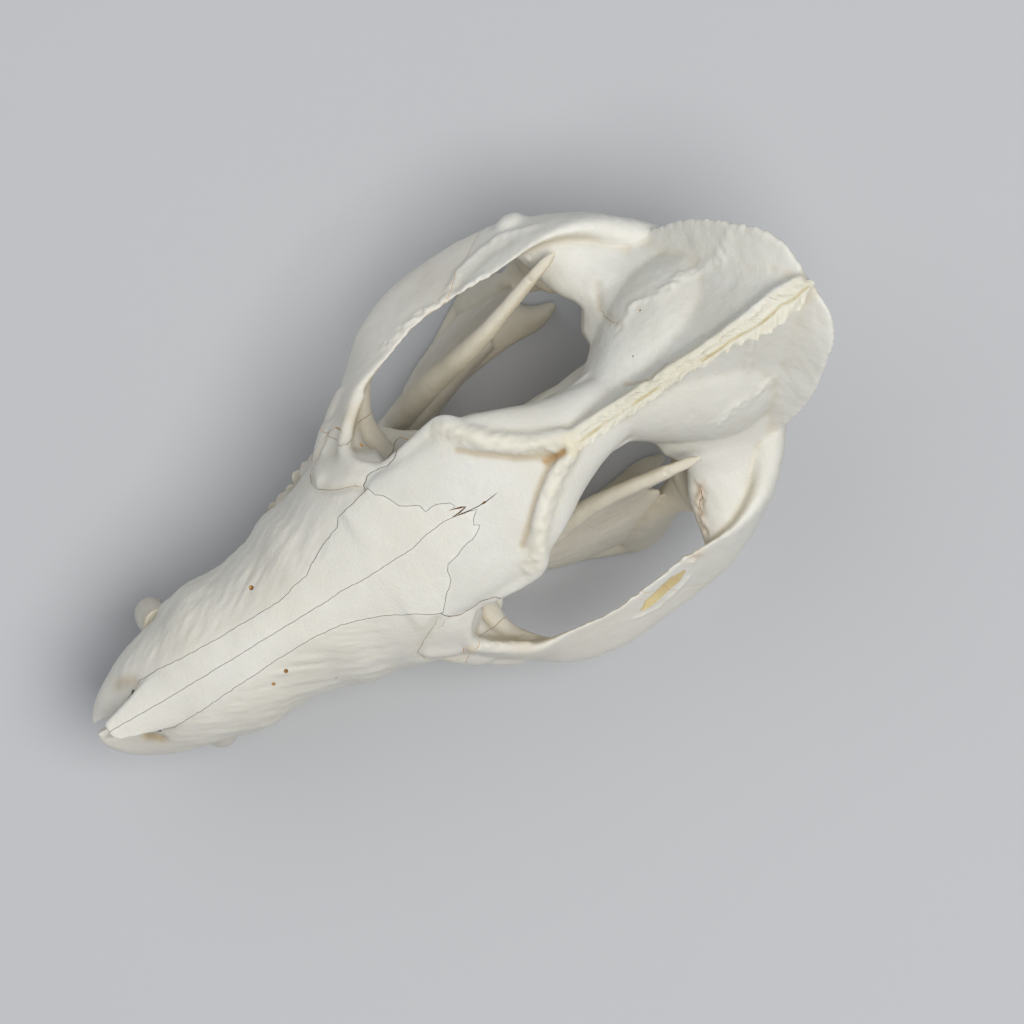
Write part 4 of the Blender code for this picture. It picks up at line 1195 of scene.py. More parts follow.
    # Exponents of the outlines across the head
    palate_square: float = 3.4
    forehead_square: float = 2.6
    wall_square: float = 2.2
    case_square: float = 2.1
    hollow_square: float = 2.2
    arch_powers: Row = (0.85, 0.75)
    crest_rise: float = 12.0
    crest_cells: int = 16
    crest_fall: float = 2.4
    nasal_front: Row = (-0.1, 24)
    nasal_lap: float = 0.1
    nasal_sky: float = 12.0
    nasal_cells: int = 20
    nasal_room: float = 14.0
    # The rooms of the cheek bones: two corners, then a point and a direction of each suture
    arch_low: Row = (14, 45, -8)
    arch_high: Row = (40, 94, 20.5)
    arch_cuts: tuple[Table, ...] = (((18.6, 60, 9), (0.9, 0.33, 0.28)), ((28, 79.6, 14.0), (0, -0.58, -0.81)))
    # The rooms ahead of the frontal bone, above and beside it: height and rear end of each
    vault_room: Row = (60, 61.5)
    orbit_room: Row = (22, 66)
    # The room below it: rear end and height
    palate_room: Row = (74.5, 5.5)
    frontal_drop: float = 2.0
    frontal_side: float = 0.4
    slope_cells: int = 14
    rim_rows: int = 44
    rim_depth: float = 5.2
    arch_rows: int = 66
    bar_rows: int = 22
    bend_places: Row = (-4, 126, 400)
    unevenness: tuple[Relief, ...] = (Relief(0.10, 6.0, 1), Relief(0.05, 2.2, 2), Relief(0.02, 0.9, 3))
    # The snout's flanks: from where across the head, their front and rear ends, and their slant
    flank_from: Row = (4, 6.5)
    flank_front: Row = (2, 10)
    flank_rear: Row = (36, 50)
    flank_slant: Row = (0.87, 0.5)
    flutes: tuple[Relief, ...] = (Relief(0.15, (0.9, 5.5, 2.2), 4), Relief(0.08, (0.5, 2.5, 1.2), 5))
    vault_from: Row = (84, 96)
    wrinkles: tuple[Relief, ...] = (Relief(0.08, (3.2, 1.6, 3.2), 6), Relief(0.05, (1.4, 0.7, 1.4), 7))
    rim_width: float = 1.1
    rim_length: float = 70.0
    scallop: float = 0.27
    scallop_sunk: float = 0.08
    edge: CrestEdge = CrestEdge()
    strokes: tuple[Stroke, ...] = ()
    grooves: tuple[Groove, ...] = ()
    pores: tuple[Pore, ...] = ()
    voxel: float = CRANIUM_VOXEL

    def height(self, y: float) -> float:
        """Height of the cranium's middle line."""
        return read_table(self.top_line, y)[1]

    def top_of_snout(self, y: float) -> float:
        """Height of the snout without the nasal bones."""
        return read_table(self.snout_top, y)[1] if y < self.snout_top[-1][0] else self.height(y)

    def roof(self, x: float, y: float) -> float:
        """Height of the nasal bones' upper face."""
        return self.height(y) - read_table(self.nasal_arching, y)[1] * x * x

    def snout_pieces(self) -> list[Solid]:
        """The snout, the palate and the front of the nasals."""
        rings = []
        for y in span(self.snout, 1.0):
            _, half, middle, bottom, square = read_table(self.snout, y)
            rings.append(cross_section(y, half, self.top_of_snout(y), middle, bottom, square))
        nasals = []
        shares = [2 * i / self.nasal_cells - 1 for i in range(self.nasal_cells + 1)]
        for y in steps(*self.nasal_front, 0.8):
            half = read_table(self.nasal, y)[1]
            upper = [(half * share, y, self.roof(half * share, y)) for share in shares]
            lower = [(x, y, z - self.nasal_thickness + self.nasal_lap) for x, y, z in reversed(upper)]
            nasals.append(upper + lower)
        pieces = [loft(rings), loft(sections(self.palate, 1.2, self.palate_square)), loft(nasals)]
        return pieces + [tube(self.canine_bulge, side.value) for side in Side]

    def mid_crest_piece(self) -> Solid:
        """The high blade along the middle of the braincase, wider toward its foot."""
        rings = []
        for y in span(self.mid_crest, 1.0):
            _, edge, foot = read_table(self.mid_crest, y)
            rise = self.height(y) - foot
            side = []
            for part in range(self.crest_cells + 1):
                taper = (1 - part / self.crest_cells) ** self.crest_fall
                side.append((edge + self.crest_spread * rise / self.crest_rise * taper, y,
                             foot + rise * part / self.crest_cells))
            rings.append(side + flipped(side[::-1], -1))
        return loft(rings)

    def vault_pieces(self) -> list[Solid]:
        """Forehead, wall between the orbits, braincase and its crests."""
        forehead = []
        for y in span(self.forehead, 1.0):
            _, half, middle, bottom = read_table(self.forehead, y)
            top = self.height(y) - read_table(self.forehead_drop, y)[1]
            forehead.append(cross_section(y, half, top, middle, bottom, self.forehead_square))
        wall = sections(self.orbit_wall, 1.1, self.wall_square)
        case = sections(self.braincase, 1.0, self.case_square)
        pieces = [loft(forehead), loft(wall), loft(case), self.mid_crest_piece()]
        for side in Side:
            pieces += [tube(self.brow_line, side.value), self.rim_piece(side), self.temple_piece(side)]
            pieces += [lump(*row, side=side.value) for row in self.base_lumps]
        return pieces

    def temple_piece(self, side: Side) -> Solid:
        """The hollow slope from the crest out to the arch and the rear rim, on one side."""
        inner = self.temple_inner
        rings = []
        for y in span(self.temple, 1.0):
            _, edge, low, high = read_table(self.temple, y)
            slope = []
            for i in range(self.slope_cells + 1):
                part = i / self.slope_cells
                slope.append((inner + (edge - inner) * part, y,
                              low + (high - low) * (1 - part) ** self.temple_fall))
            foot = low - self.temple_depth
            rings.append(flipped(slope + [(edge, y, foot), (inner, y, foot)], side.value))
        return loft(rings)

    def rim_piece(self, side: Side) -> Solid:
        """The thin crest across the back of the head, on one side."""
        edge, growth = self.rim_thickness
        rows = along(self.back_rim, self.rim_rows)
        rings = []
        for i, row in enumerate(rows):
            rim = Vector(row)
            ahead = heading(rows, i) if i else Vector((1, 0, 0))
            inward = (Vector(self.back_centre) - rim).normalized()
            thick = ahead.cross(inward).normalized()
            ring = []
            for cos, sin in circle(20):
                depth = self.rim_depth * (1 - cos)
                ring.append(rim + inward * depth + thick * (edge + growth * depth) * sin)
            rings.append(flipped(ring, side.value))
        return loft(rings)

    def arch_piece(self, side: Side) -> Solid:
        """The cheek arch, a blade that leans inward and thins to its upper edge."""
        full, thinned, slant = self.blade
        round_up, round_out = self.arch_powers
        rows = along(self.cheek_arch, self.arch_rows)
        rings = []
        for i, (x, y, z, depth, thickness, lean) in enumerate(rows):
            ahead = heading(rows, i)
            outward = Vector((ahead.y, -ahead.x, 0)).normalized()
            taper = min(lean / self.full_lean, 1)
            lean = math.radians(lean)
            upright = Vector((0, 0, math.cos(lean))) - outward * math.sin(lean)
            flat = outward * math.cos(lean) + Vector((0, 0, math.sin(lean)))
            ring = []
            for cos, sin in circle(28):
                thin = thickness * (full - taper * (thinned + slant * sin))
                ring.append(Vector((x, y, z)) + upright * depth * power(sin, round_up)
                            + flat * thin * power(cos, round_out))
            rings.append(flipped(ring, side.value))
        return loft(rings)

    def flat_bar(self, table: Table, side: Side) -> Solid:
        """A flat oval bar out to one side: x, y, height, half length, half thickness."""
        rings = []
        for x, y, z, length, thickness in along(table, self.bar_rows):
            rings.append([(side.value * x, y + length * cos, z + thickness * sin) for cos, sin in circle(32)])
        return loft(rings)

    def hollow_pieces(self) -> list[Solid]:
        """Everything that is cut out of the cranium."""
        square = self.hollow_square
        palate = []
        for y in span(self.palate_hollow, 1.5):
            _, half, depth = read_table(self.palate_hollow, y)
            palate.append(cross_section(y, half, depth, -2.0, -6.0, square, points=32))
        cuts = [loft(sections(self.nostril, 1.2, square, 32)), loft(palate), lump(*self.notch)]
        for row in self.hollows:
            cuts += [lump(*row, side=side.value) for side in (Side if row[0] else (Side.LEFT,))]
        return cuts

    def form(self) -> Thing:
        """The whole cranium as one bone, smooth and without its scars."""
        pieces = self.snout_pieces() + self.vault_pieces()
        for side in Side:
            bars = (self.shelf, self.orbit_floor, self.orbit_bowl)
            pieces += [self.flat_bar(table, side) for table in bars]
            pieces.append(self.arch_piece(side))
        pieces += [lump(*self.arch_bump, side=Side.RIGHT.value), lump(*self.occiput)]
        whole = joined(pieces, "cranium")
        blend(whole, self.voxel, 2)
        combine(whole, self.hollow_pieces(), Cut.DIFFERENCE)
        blend(whole, self.voxel, 3)
        points = places(whole)
        spread = np.linspace(*self.bend_places)
        points[:, 0] += np.interp(points[:, 1], spread, [read_table(self.bend, y)[1] for y in spread])
        put(whole, points)
        return whole

    def weather(self, whole: Thing) -> None:
        """Gives the bone its unevenness, fluted flanks and scalloped rear rim."""
        points, out = places(whole), normals(whole)
        x, y, z = points.T
        lift = relief(points, self.unevenness)
        ahead, aside = self.flank_slant
        slant = np.stack((x * ahead - y * np.sign(x) * aside, y * ahead + np.abs(x) * aside, z), axis=1)
        flank = rise_over(np.abs(x), *self.flank_from) * (1 - rise_over(y, *self.flank_rear))
        flank *= rise_over(y, *self.flank_front)
        lift += flank * relief(slant, self.flutes)
        lift += rise_over(y, *self.vault_from) * relief(points, self.wrinkles)
        points += out * lift[:, None]
        rim = np.array(along(self.back_rim, 60))
        for side in Side:
            near, where = distance_to(points, rim * (side.value, 1, 1))
            outward = points - np.array(self.back_centre)
            outward /= np.linalg.norm(outward, axis=1)[:, None]
            path = np.stack((where * self.rim_length, where * 0, where * 0), axis=1)
            layers = (Relief(1.0, (1.3, 1, 1), RIM_SEED + side.value),
                      Relief(0.6, (0.55, 1, 1), RIM_SEED + 3))
            push = self.scallop * relief(path, layers) - self.scallop_sunk
            points += outward * (np.exp(-(near / self.rim_width) ** 2) * push)[:, None]
        put(whole, points)

    def sculpt(self, whole: Thing, skin: Skin) -> None:
        """Raises and sinks the bone along its strokes."""
        points, out = places(whole), normals(whole)
        lift = np.zeros(len(points))
        for number, stroke in enumerate(self.strokes):
            line = stroke.trace(skin)
            if len(line) < 2 or not (stroke.rise or stroke.rough):
                continue
            near, _ = distance_to(points, line)
            rise = stroke.rise + stroke.rough * lattice(points, stroke.cell, STROKE_SEED + number)
            lift += np.exp(-(near / stroke.width) ** 2) * rise
        put(whole, points + out * lift[:, None])

    def scar(self, whole: Thing, skin: Skin) -> None:
        """Adds the ragged edge of the crest, and cuts the sutures, cracks and pores."""
        cuts = [curtain(skin, groove, GROOVE_SEED + i) for i, groove in enumerate(self.grooves)]
        cuts += [drill(skin, pore) for pore in self.pores]
        combine(whole, [self.edge.body(skin, self.height)], Cut.UNION)
        combine(whole, [cut for cut in cuts if cut is not None], Cut.DIFFERENCE)

    def outline(self, skin: Skin, line: Table, margin: float) -> list[tuple[float, float]]:
        """A seen outline in plan, moved outward by a margin."""
        flat = [Vector(skin.at_height(x, y, self.height(y))) for x, y in line]
        area = sum(a.x * b.y - b.x * a.y for a, b in zip(flat, flat[1:] + flat[:1]))
        turn = math.copysign(1, area)
        moved = []
        for i, point in enumerate(flat):
            before, after = flat[i - 1], flat[(i + 1) % len(flat)]
            ahead = (point - before).normalized() + (after - point).normalized()
            ahead = ahead.normalized() if ahead.length > 0.1 else (after - point).normalized()
            moved.append((point.x + turn * ahead.y * margin, point.y - turn * ahead.x * margin))
        return moved

    def nasal_space(self, skin: Skin, side: Side, margin: float) -> Solid:
        """The room of one nasal bone, wider by a margin all round."""
        line = self.nasal_left if side is Side.LEFT else self.nasal_right
        edge, middle = NASAL_SEEDS
        fine = finer(line, 0.7, 0.07, edge)[:-1] + finer(self.nasal_middle, 0.7, 0.06, middle)
        space = as_object(prism(self.outline(skin, fine, margin), -10, 60, 1), "space")
        rings = []
        xs = steps(-self.nasal_room, self.nasal_room, 1.17)
        for y in steps(-4, 68, 1.5):
            bend = read_table(self.bend, y)[1]
            upper = [(x + bend, y, self.roof(x, y) + self.nasal_sky) for x in xs]
            lower = [(x + bend, y, self.roof(x, y) - self.nasal_thickness - margin) for x in reversed(xs)]
            rings.append(upper + lower)
        combine(space, [loft(rings, 1)], Cut.INTERSECT)
        room = taken(space)
        bpy.data.objects.remove(space, do_unlink=True)
        return room

    def arch_space(self, side: Side, margin: float) -> Solid:
        """The room of one cheek bone: a block cut by its two slanting sutures."""
        inner, front, low = self.arch_low
        outer, rear, high = self.arch_high
        bm = box((inner - margin, front, low), (outer, rear + margin, high + margin), 1)
        for point, normal in self.arch_cuts:
            normal = Vector(normal).normalized()
            geometry = bm.verts[:] + bm.edges[:] + bm.faces[:]
            cut = bmesh.ops.bisect_plane(bm, geom=geometry, plane_co=Vector(point) - normal * margin,
                                         plane_no=normal, clear_inner=True)
            edges = [item for item in cut["geom_cut"] if isinstance(item, bmesh.types.BMEdge)]
            bmesh.ops.contextual_create(bm, geom=edges, mat_nr=1)
        if side is Side.RIGHT:
            bmesh.ops.scale(bm, vec=(-1, 1, 1), verts=bm.verts)
        bmesh.ops.recalc_face_normals(bm, faces=bm.faces)
        return bm

    def frontal_plan(self, skin: Skin, line: Table) -> list[tuple[float, float]]:
        """The front edge of the frontal bone on one side, in plan."""
        fine = finer(line, 0.8, 0.12, FRONTAL_SEED)
        return [skin.at_height(x, y, self.height(y) - self.frontal_drop) for x, y in fine]

    def ahead_spaces(self, skin: Skin, grow: float) -> list[Solid]:
        """The room in front of the frontal bone, moved back by a margin: above, beside and below it."""
        right, left = self.frontal_plan(skin, self.frontal_right), self.frontal_plan(skin, self.frontal_left)
        outer_right, outer_left = right[-1][0] - self.frontal_side, left[-1][0] + self.frontal_side
        orbit_high, orbit_rear = self.orbit_room
        rooms = (self.vault_room, (orbit_high + grow, orbit_rear))
        spaces = []
        for number, (high, rear) in enumerate(rooms):
            far = FAR + number
            line = [(-far, rear), (outer_right, rear), *right[::-1], *left, (outer_left, rear), (far, rear)]
            line = [(x - math.copysign(1, x) * grow, y + grow) for x, y in line]
            spaces.append(prism([(-far, -far), *line, (far, -far)], -far, high, 1))
        far = FAR + 2
        rear, high = self.palate_room
        spaces.append(box((-far, -far, -far), (far, rear + grow, high + grow), 1))
        return spaces

    def part(self, whole: Thing, skin: Skin) -> dict[str, Thing]:
        """Cuts the cranium along its sutures into separate bones.

        Args:
            whole: The cranium, which is used up.
            skin: Its surface, on which the sutures are drawn.

        Returns:
            The bones, by the names of the nodes that they replace.
        """
        half = SEAM / 2
        bones = {}
        for side in Side:
            nasal = duplicate(whole, f"nasal_{side.word}_bone")
            combine(nasal, [self.nasal_space(skin, side, -half)], Cut.INTERSECT)
            arch = duplicate(whole, f"zygomatic_arch_{side.word}_bone")
            combine(arch, [self.arch_space(side, -half)], Cut.INTERSECT)
            bones[f"nasal_{side.word}"], bones[f"zygomatic_arch_{side.word}"] = nasal, arch
        others = [self.nasal_space(skin, side, half) for side in Side]
        others += [self.arch_space(side, half) for side in Side]
        combine(whole, others, Cut.DIFFERENCE)
        braincase = duplicate(whole, "braincase_bone")
        combine(braincase, self.ahead_spaces(skin, half), Cut.DIFFERENCE)
        rostrum = duplicate(whole, "rostrum_bone")
        first, *others = self.ahead_spaces(skin, -half)
        room = as_object(first, "room")
        combine(room, others, Cut.UNION)
        combine(rostrum, [taken(room)], Cut.INTERSECT)
        for helper in (room, whole):
            bpy.data.objects.remove(helper, do_unlink=True)
        bones["rostrum"], bones["braincase"] = rostrum, braincase
        return bones


# The teeth and the lower jaw


@dataclass(frozen=True)
class ToothRow:
    """Upper or lower teeth: x, y, length along the row, width and crown height of each.

    Profiles go from the gum to the tip of a crown: share of the height, size, and shift back.
    Cusps are shares of the width, of the length and of the height.
    """

    word: str
    up: int
    gum: float
    front_gum: float
    front_lean: float
    incisors: Table
    canine: Table
    premolars: Table
    molars: Table
    cusps: Table
    # How much narrower a molar is at its inner end, as a share of its length
    inner_taper: float = 0.0
    # How far the left canine stands inside and ahead of the right one's place
    left_set: Row = (0, 0)
    turn: float = math.radians(10)
    root: float = 3.0
    peg_root: Row = (0.7,)
    peg: Table = ((0, 0.92), (0.2, 1.02), (0.55, 0.95), (0.85, 0.66), (1, 0.28))
    blade_root: Row = (0.8, 0)
    blade: Table = (
        (0, 0.94, 0), (0.14, 1.04, 0), (0.34, 0.97, -0.01), (0.65, 0.6, -0.1), (1, 0.14, -0.16),
    )
    crown_root: Row = (0.72,)
    crown: Table = ((0, 0.88), (0.2, 0.98), (0.42, 1), (0.62, 0.84))
    cusp_size: Row = (0.19, 0.17)

    def turned(self, x: float, y: float, along_row: float, across: float, z: float, side: int) -> Row:
        """A point of a tooth, turned with the row, which spreads backward."""
        cos, sin = math.cos(self.turn), math.sin(self.turn)
        return (side * (x + across * cos + along_row * sin), y + along_row * cos - across * sin, z)

    def rooted(self, root: Row, profile: Table, height: float) -> Table:
        """A profile with its root below the gum."""
        return ((-self.root / height, *root), *profile)

    def incisor(self, row: Row, side: int) -> Solid:
        """A one-rooted front tooth that leans forward."""
        x, y, length, width, height = row
        rings = []
        for part, size in along(self.rooted(self.peg_root, self.peg, height), 14):
            ahead = self.front_lean * abs(part * height)
            rings.append([(side * (x + width / 2 * size * cos), y - ahead + length / 2 * size * sin,
                           self.front_gum + self.up * part * height) for cos, sin in circle(14)])
        return loft(rings)

    def premolar(self, row: Row, side: int) -> Solid:
        """One tall cusp over the front root, a low heel behind."""
        x, y, length, width, height = row
        rings = []
        for part, size, shift in along(self.rooted(self.blade_root, self.blade, height), 16):
            z = self.gum + self.up * part * height
            rings.append([self.turned(x, y, length / 2 * size * cos + shift * length,
                                      width / 2 * size * power(sin, 1.1), z, side)
                          for cos, sin in circle(20)])
        return loft(rings)

    def molar(self, row: Row, side: int) -> list[Solid]:
        """A low crown, three-sided above and oblong below, with its cusps."""
        x, y, length, width, height = row
        base = []
        for part, size in self.rooted(self.crown_root, self.crown, height):
            ring = []
            for cos, sin in circle(24):
                across = width / 2 * size * power(cos, 0.8)
                taper = 1.0 - self.inner_taper * (0.5 - across / width)
                ring.append(self.turned(x, y, length / 2 * size * taper * power(sin, 0.8), across,
                                        self.gum + self.up * part * height, side))
            base.append(ring)
        pieces = [loft(base)]
        long, wide = self.cusp_size
        for out, back, tall in self.cusps:
            rings = []
            for part, size in ((0.3, 1.1), (tall - 0.2, 0.62), (tall, 0.12)):
                z = self.gum + self.up * part * height
                rings.append([self.turned(x, y, back * length + long * length * size * sin,
                                          out * width + wide * width * size * cos, z, side)
                              for cos, sin in circle(10)])
            pieces.append(loft(rings))
        return pieces

    def build(self, side: Side) -> Thing:
        """One side's teeth as one piece."""
        sign = side.value
        inward, forward = self.left_set if side is Side.LEFT else (0.0, 0.0)
        canine = tuple((x - inward, y - forward, z, radius) for x, y, z, radius in self.canine)
        pieces = [tube(canine, sign, 24, 8)]
        pieces += [self.incisor(row, sign) for row in self.incisors]
        pieces += [self.premolar(row, sign) for row in self.premolars]
        for row in self.molars:
            pieces += self.molar(row, sign)
        teeth = joined(pieces, f"{self.word}_teeth_{side.word}")
        blend(teeth, TOOTH_VOXEL, 0.25)
        return teeth


UPPER_TEETH = ToothRow(
    "upper", -1, gum=0.2, front_gum=0.4, front_lean=0.25,
    incisors=((1.4, 1.2, 1.7, 1.7, 4.2), (3.5, 2.9, 1.8, 1.4, 2.9), (4.9, 4.6, 1.8, 1.4, 2.9),
              (6, 6.4, 1.8, 1.4, 2.8), (6.8, 8.2, 1.8, 1.3, 2.6)),
    canine=((9.4, 14.8, 4.5, 2.5), (10.4, 14.2, 0.5, 2.7), (11.3, 13.9, -4, 2.4), (11.7, 14.3, -8.5, 1.6),
            (11.5, 15.3, -12.6, 0.5)),
    premolars=((9, 20.6, 3.2, 1.9, 3), (9.7, 28.8, 5.2, 2.6, 5.2), (10.6, 34.9, 5.2, 3, 5.4)),
    molars=((12.4, 41.4, 6, 5.8, 4), (14, 47.2, 5.9, 6.6, 4), (15.3, 52.9, 5.4, 7.2, 3.8),
            (15.8, 57.8, 3.4, 6.8, 3.3)),
    cusps=((-0.3, 0, 0.85), (0.05, -0.25, 0.92), (0.05, 0.25, 1), (0.38, -0.34, 0.72), (0.4, 0.3, 0.7),
           (0.4, 0, 0.66)),
    inner_taper=0.42, left_set=(1, 1),
)
LOWER_TEETH = ToothRow(
    "lower", 1, gum=14.4, front_gum=13.8, front_lean=0.55,
    incisors=((0.95, 4.4, 1.3, 1.3, 3.4), (2.1, 4.9, 1.3, 1.3, 3.2), (3.1, 5.9, 1.3, 1.3, 3),
              (3.9, 7.1, 1.3, 1.3, 2.8)),
    canine=((4.6, 12.6, 9, 2.2), (5.6, 11, 14.5, 2.2), (7, 10.2, 18.6, 1.6), (8, 10.6, 22.6, 0.8),
            (8.3, 11, 24.6, 0.35)),
    premolars=((5, 17, 3.2, 1.6, 2.4), (6, 24.2, 5, 2.1, 4.2), (7.2, 30.2, 5, 2.4, 3.8)),
    molars=((8.4, 36.4, 5.5, 3.2, 2.9), (9.6, 42.2, 5.7, 3.6, 2.9), (10.7, 48.2, 5.8, 3.8, 2.8),
            (11.7, 54.2, 5.8, 3.6, 2.7)),
    cusps=((0.2, -0.24, 1), (-0.22, -0.3, 0.9), (-0.25, 0, 0.82), (0, 0.3, 0.74), (-0.3, 0.34, 0.68)),
)


@dataclass
class Mandible:
    """One half of the lower jaw: body, upright branch, angle and condyle."""

    side: Side
    body: Table = (
        (3.6, 0, 2.6, 10.2, 14), (6, 0, 4.4, 7.6, 14.8), (11, 0, 6.6, 4.6, 15.2), (18, 0, 7.2, 2.2, 15),
        (25, 0, 7.8, 0.9, 14.8), (31, 2.2, 8.8, 0.2, 14.6), (38, 4.9, 10.9, -0.2, 14.5),
        (48, 7, 13.2, -0.5, 14.4), (56, 8.2, 14.8, -0.5, 14.6), (63, 9.6, 16.2, 0, 15.4),
        (70, 11.6, 17.4, 0.8, 16), (76, 13.4, 17.6, 1.6, 11), (82, 14.8, 17.2, 2.4, 6),
    )
    branch: Table = (
        (5, 67, 90, 2.2), (12, 64.5, 88.6, 1.9), (18, 64.2, 88, 1.7), (24, 68, 89.6, 1.5),
        (29, 71.6, 88.2, 1.4), (34, 75.4, 88.2, 1.3), (38, 79.6, 91, 1.2), (41, 84.6, 94.8, 1.1),
        (43.4, 90.6, 97.2, 0.9),
    )
    angle: Table = (
        (58, 10.6, 13.8, 4.2, 3.4), (62, 11, 15.4, 3.8, 3.6), (68, 12, 18, 3.2, 3.2),
        (74, 13, 21, 2.8, 2.8), (79, 13.4, 23.6, 2.3, 2.4), (84, 13.4, 24.8, 1.9, 2.4),
        (87, 13.2, 22.6, 1.8, 2.3), (89, 13, 18.4, 1.8, 2.2), (91, 13.2, 16.6, 1.9, 2),
        (93.8, 14.2, 15.4, 2.2, 1.2),
    )
    condyle: Row = (21.2, 94.2, 25.6, 5.8, 2.5, 2.3)
    neck: Table = (
        (22.6, 84.6, 2.6, 2.8, 5.2), (21.8, 86.6, 9, 2.2, 4.6), (21, 89.2, 16, 2.1, 3.8),
        (20.8, 91.8, 21, 3, 2.8), (21.2, 93.8, 25.2, 5, 1.9),
    )
    lean: float = 0.03
    brace: Table = (
        (13.4, 62, 13, 2), (14, 64.6, 18, 2.2), (14.6, 69, 24, 2.1), (14.8, 72.9, 29, 1.9),
        (14.9, 76.7, 34, 1.7), (15.3, 80.9, 38, 1.45), (16.3, 85.9, 41, 1.25), (17.7, 91.6, 43.2, 1.1),
    )
    symphysis_end: float = 26.0
    symphysis_inner: float = -1.6
    # Where the upright branch stands, its spread backward, and its spread toward its foot
    branch_at: Row = (14.8, 78)
    branch_spread: float = 0.214
    foot_spread: float = 0.16
    foot_top: float = 36.0
    lean_from: float = 8.0
    unevenness: tuple[Relief, ...] = (
        Relief(0.10, 5.0, 61), Relief(0.06, (1.8, 3.2, 1.8), 62), Relief(0.025, 0.9, 63),
    )
    # Two corners of the room round the whole jaw
    room: Table = ((-60, -20, -20), (60, 140, 80))

    def sway(self, z: float) -> float:
        """How far the upright branch leans to the animal's right at a height."""
        return self.side.value * self.lean * max(0.0, z - self.lean_from)

    def middle(self, y: float, z: float) -> float:
        """Where the middle of the upright branch is: it spreads toward its foot."""
        x, from_y = self.branch_at
        foot = self.foot_spread * max(0.0, self.foot_top - z)
        return x + self.branch_spread * (y - from_y) + foot - self.sway(z)

    def form(self) -> Thing:
        """The half of the jaw as one bone."""
        sign = self.side.value
        body = []
        for y in span(self.body, 1.1):
            _, inner, outer, bottom, top = read_table(self.body, y)
            inner = inner if y > self.symphysis_end else self.symphysis_inner
            ring = cross_section(y, (outer - inner) / 2, top, (top + bottom) / 2, bottom, 2.5,
                                 (inner + outer) / 2, 40)
            body.append(flipped(ring, sign))
        branch = []
        for z in span(self.branch, 0.9):
            _, front, rear, thickness = read_table(self.branch, z)
            ring = []
            for cos, sin in circle(36):
                y = (front + rear) / 2 + (rear - front) / 2 * power(cos, 0.9)
                ring.append((self.middle(y, z) + thickness * sin, y, z))
            branch.append(flipped(ring, sign))
        floor = []
        for y in span(self.angle, 1.0):
            _, inner, outer, z, thickness = read_table(self.angle, y)
            ring = cross_section(y, (outer - inner) / 2, z + thickness, z, z - thickness, 2.2,
                                 (inner + outer) / 2, 32)
            floor.append(flipped(ring, sign))
        brace = tuple((x - self.sway(z), y, z, radius) for x, y, z, radius in self.brace)
        neck = []
        for x, y, z, half_x, half_y in along(self.neck, 18):
            neck.append([(sign * (x + half_x * cos), y + half_y * sin, z) for cos, sin in circle(24)])
        pieces = [loft(rings) for rings in (body, branch, floor, neck)]
        pieces += [tube(brace, sign), lump(*self.condyle, side=sign)]
        half = joined(pieces, f"mandible_{self.side.word}_bone")
        blend(half, JAW_VOXEL, 3)
        return half

    def weather(self, half: Thing) -> None:
        """Gives the bone its unevenness."""
        points, out = places(half), normals(half)
        put(half, points + out * relief(points, self.unevenness)[:, None])

    def trim(self, half: Thing) -> None:
        """Cuts the jaw flat at the floor and at the joint between its halves."""
        (right, front, low), (left, rear, high) = self.room
        first, last = (right, SEAM / 2) if self.side is Side.LEFT else (-SEAM / 2, left)
        ground = box((right, front, low), (left, rear, 0))
        other_half = box((first, front, low), (last, rear, high))
        combine(half, [ground, other_half], Cut.DIFFERENCE)


# Light, floor and camera


@dataclass(frozen=True)
class SoftLight:
    """One large soft lamp: where it is, how wide, how strong and its colour."""

    name: str
    place: Row
    width: float
    energy: float
    colour: Colour


@dataclass
class Studio:
    """The floor, the soft lamps, the pale surroundings and the camera, in metres."""

    camera: PhotoCamera
    lamps: tuple[SoftLight, ...] = (
        SoftLight("key", (0.24, 0.14, 1.0), 0.6, 7.2, (1.0, 0.985, 0.96)),
        SoftLight("fill", (-0.6, -0.2, 0.8), 1.0, 1.9, (0.95, 0.975, 1.0)),
    )
    sky: Colour = (0.9, 0.94, 1.0)
    ambient: float = 0.26
    floor_size: float = 6.0

    def build(self) -> None:
        """Sets everything up."""
        self.lay_floor()
        for lamp in self.lamps:
            self.hang(lamp)
        world = bpy.data.worlds.new("studio")
        world.use_nodes = True
        background = world.node_tree.nodes["Background"]
        background.inputs["Color"].default_value = rgba(self.sky)
        background.inputs["Strength"].default_value = self.ambient
        bpy.context.scene.world = world
        bpy.context.scene.view_settings.view_transform = "Standard"
        self.aim()

    def lay_floor(self) -> None:
        """Lays the floor under the skull."""
        bm = bmesh.new()
        bmesh.ops.create_grid(bm, x_segments=1, y_segments=1, size=self.floor_size / 2)
        floor = as_object(bm, "floor")
        floor.data.materials.append(FLOOR.build())

    def hang(self, lamp: SoftLight) -> None:
        """Hangs one lamp, turned to the skull."""
        data = bpy.data.lights.new(lamp.name, "AREA")
        data.shape = "DISK"
        data.size = lamp.width
        data.energy = lamp.energy
        data.color = lamp.colour
        made = placed(lamp.name, data)
        made.location = lamp.place
        made.rotation_euler = (-Vector(lamp.place)).to_track_quat("-Z", "Y").to_euler()

    def aim(self) -> None:
        """Sets the camera at the photograph's angle."""
        data = bpy.data.cameras.new("camera")
        data.lens = self.camera.lens
        data.sensor_width = self.camera.sensor
        data.clip_end = self.camera.far_end
        made = placed("camera", data)
        matrix = Matrix(self.camera.axes()).transposed().to_4x4()
        matrix.translation = self.camera.place() * MM
        made.matrix_world = matrix
        bpy.context.scene.camera = made
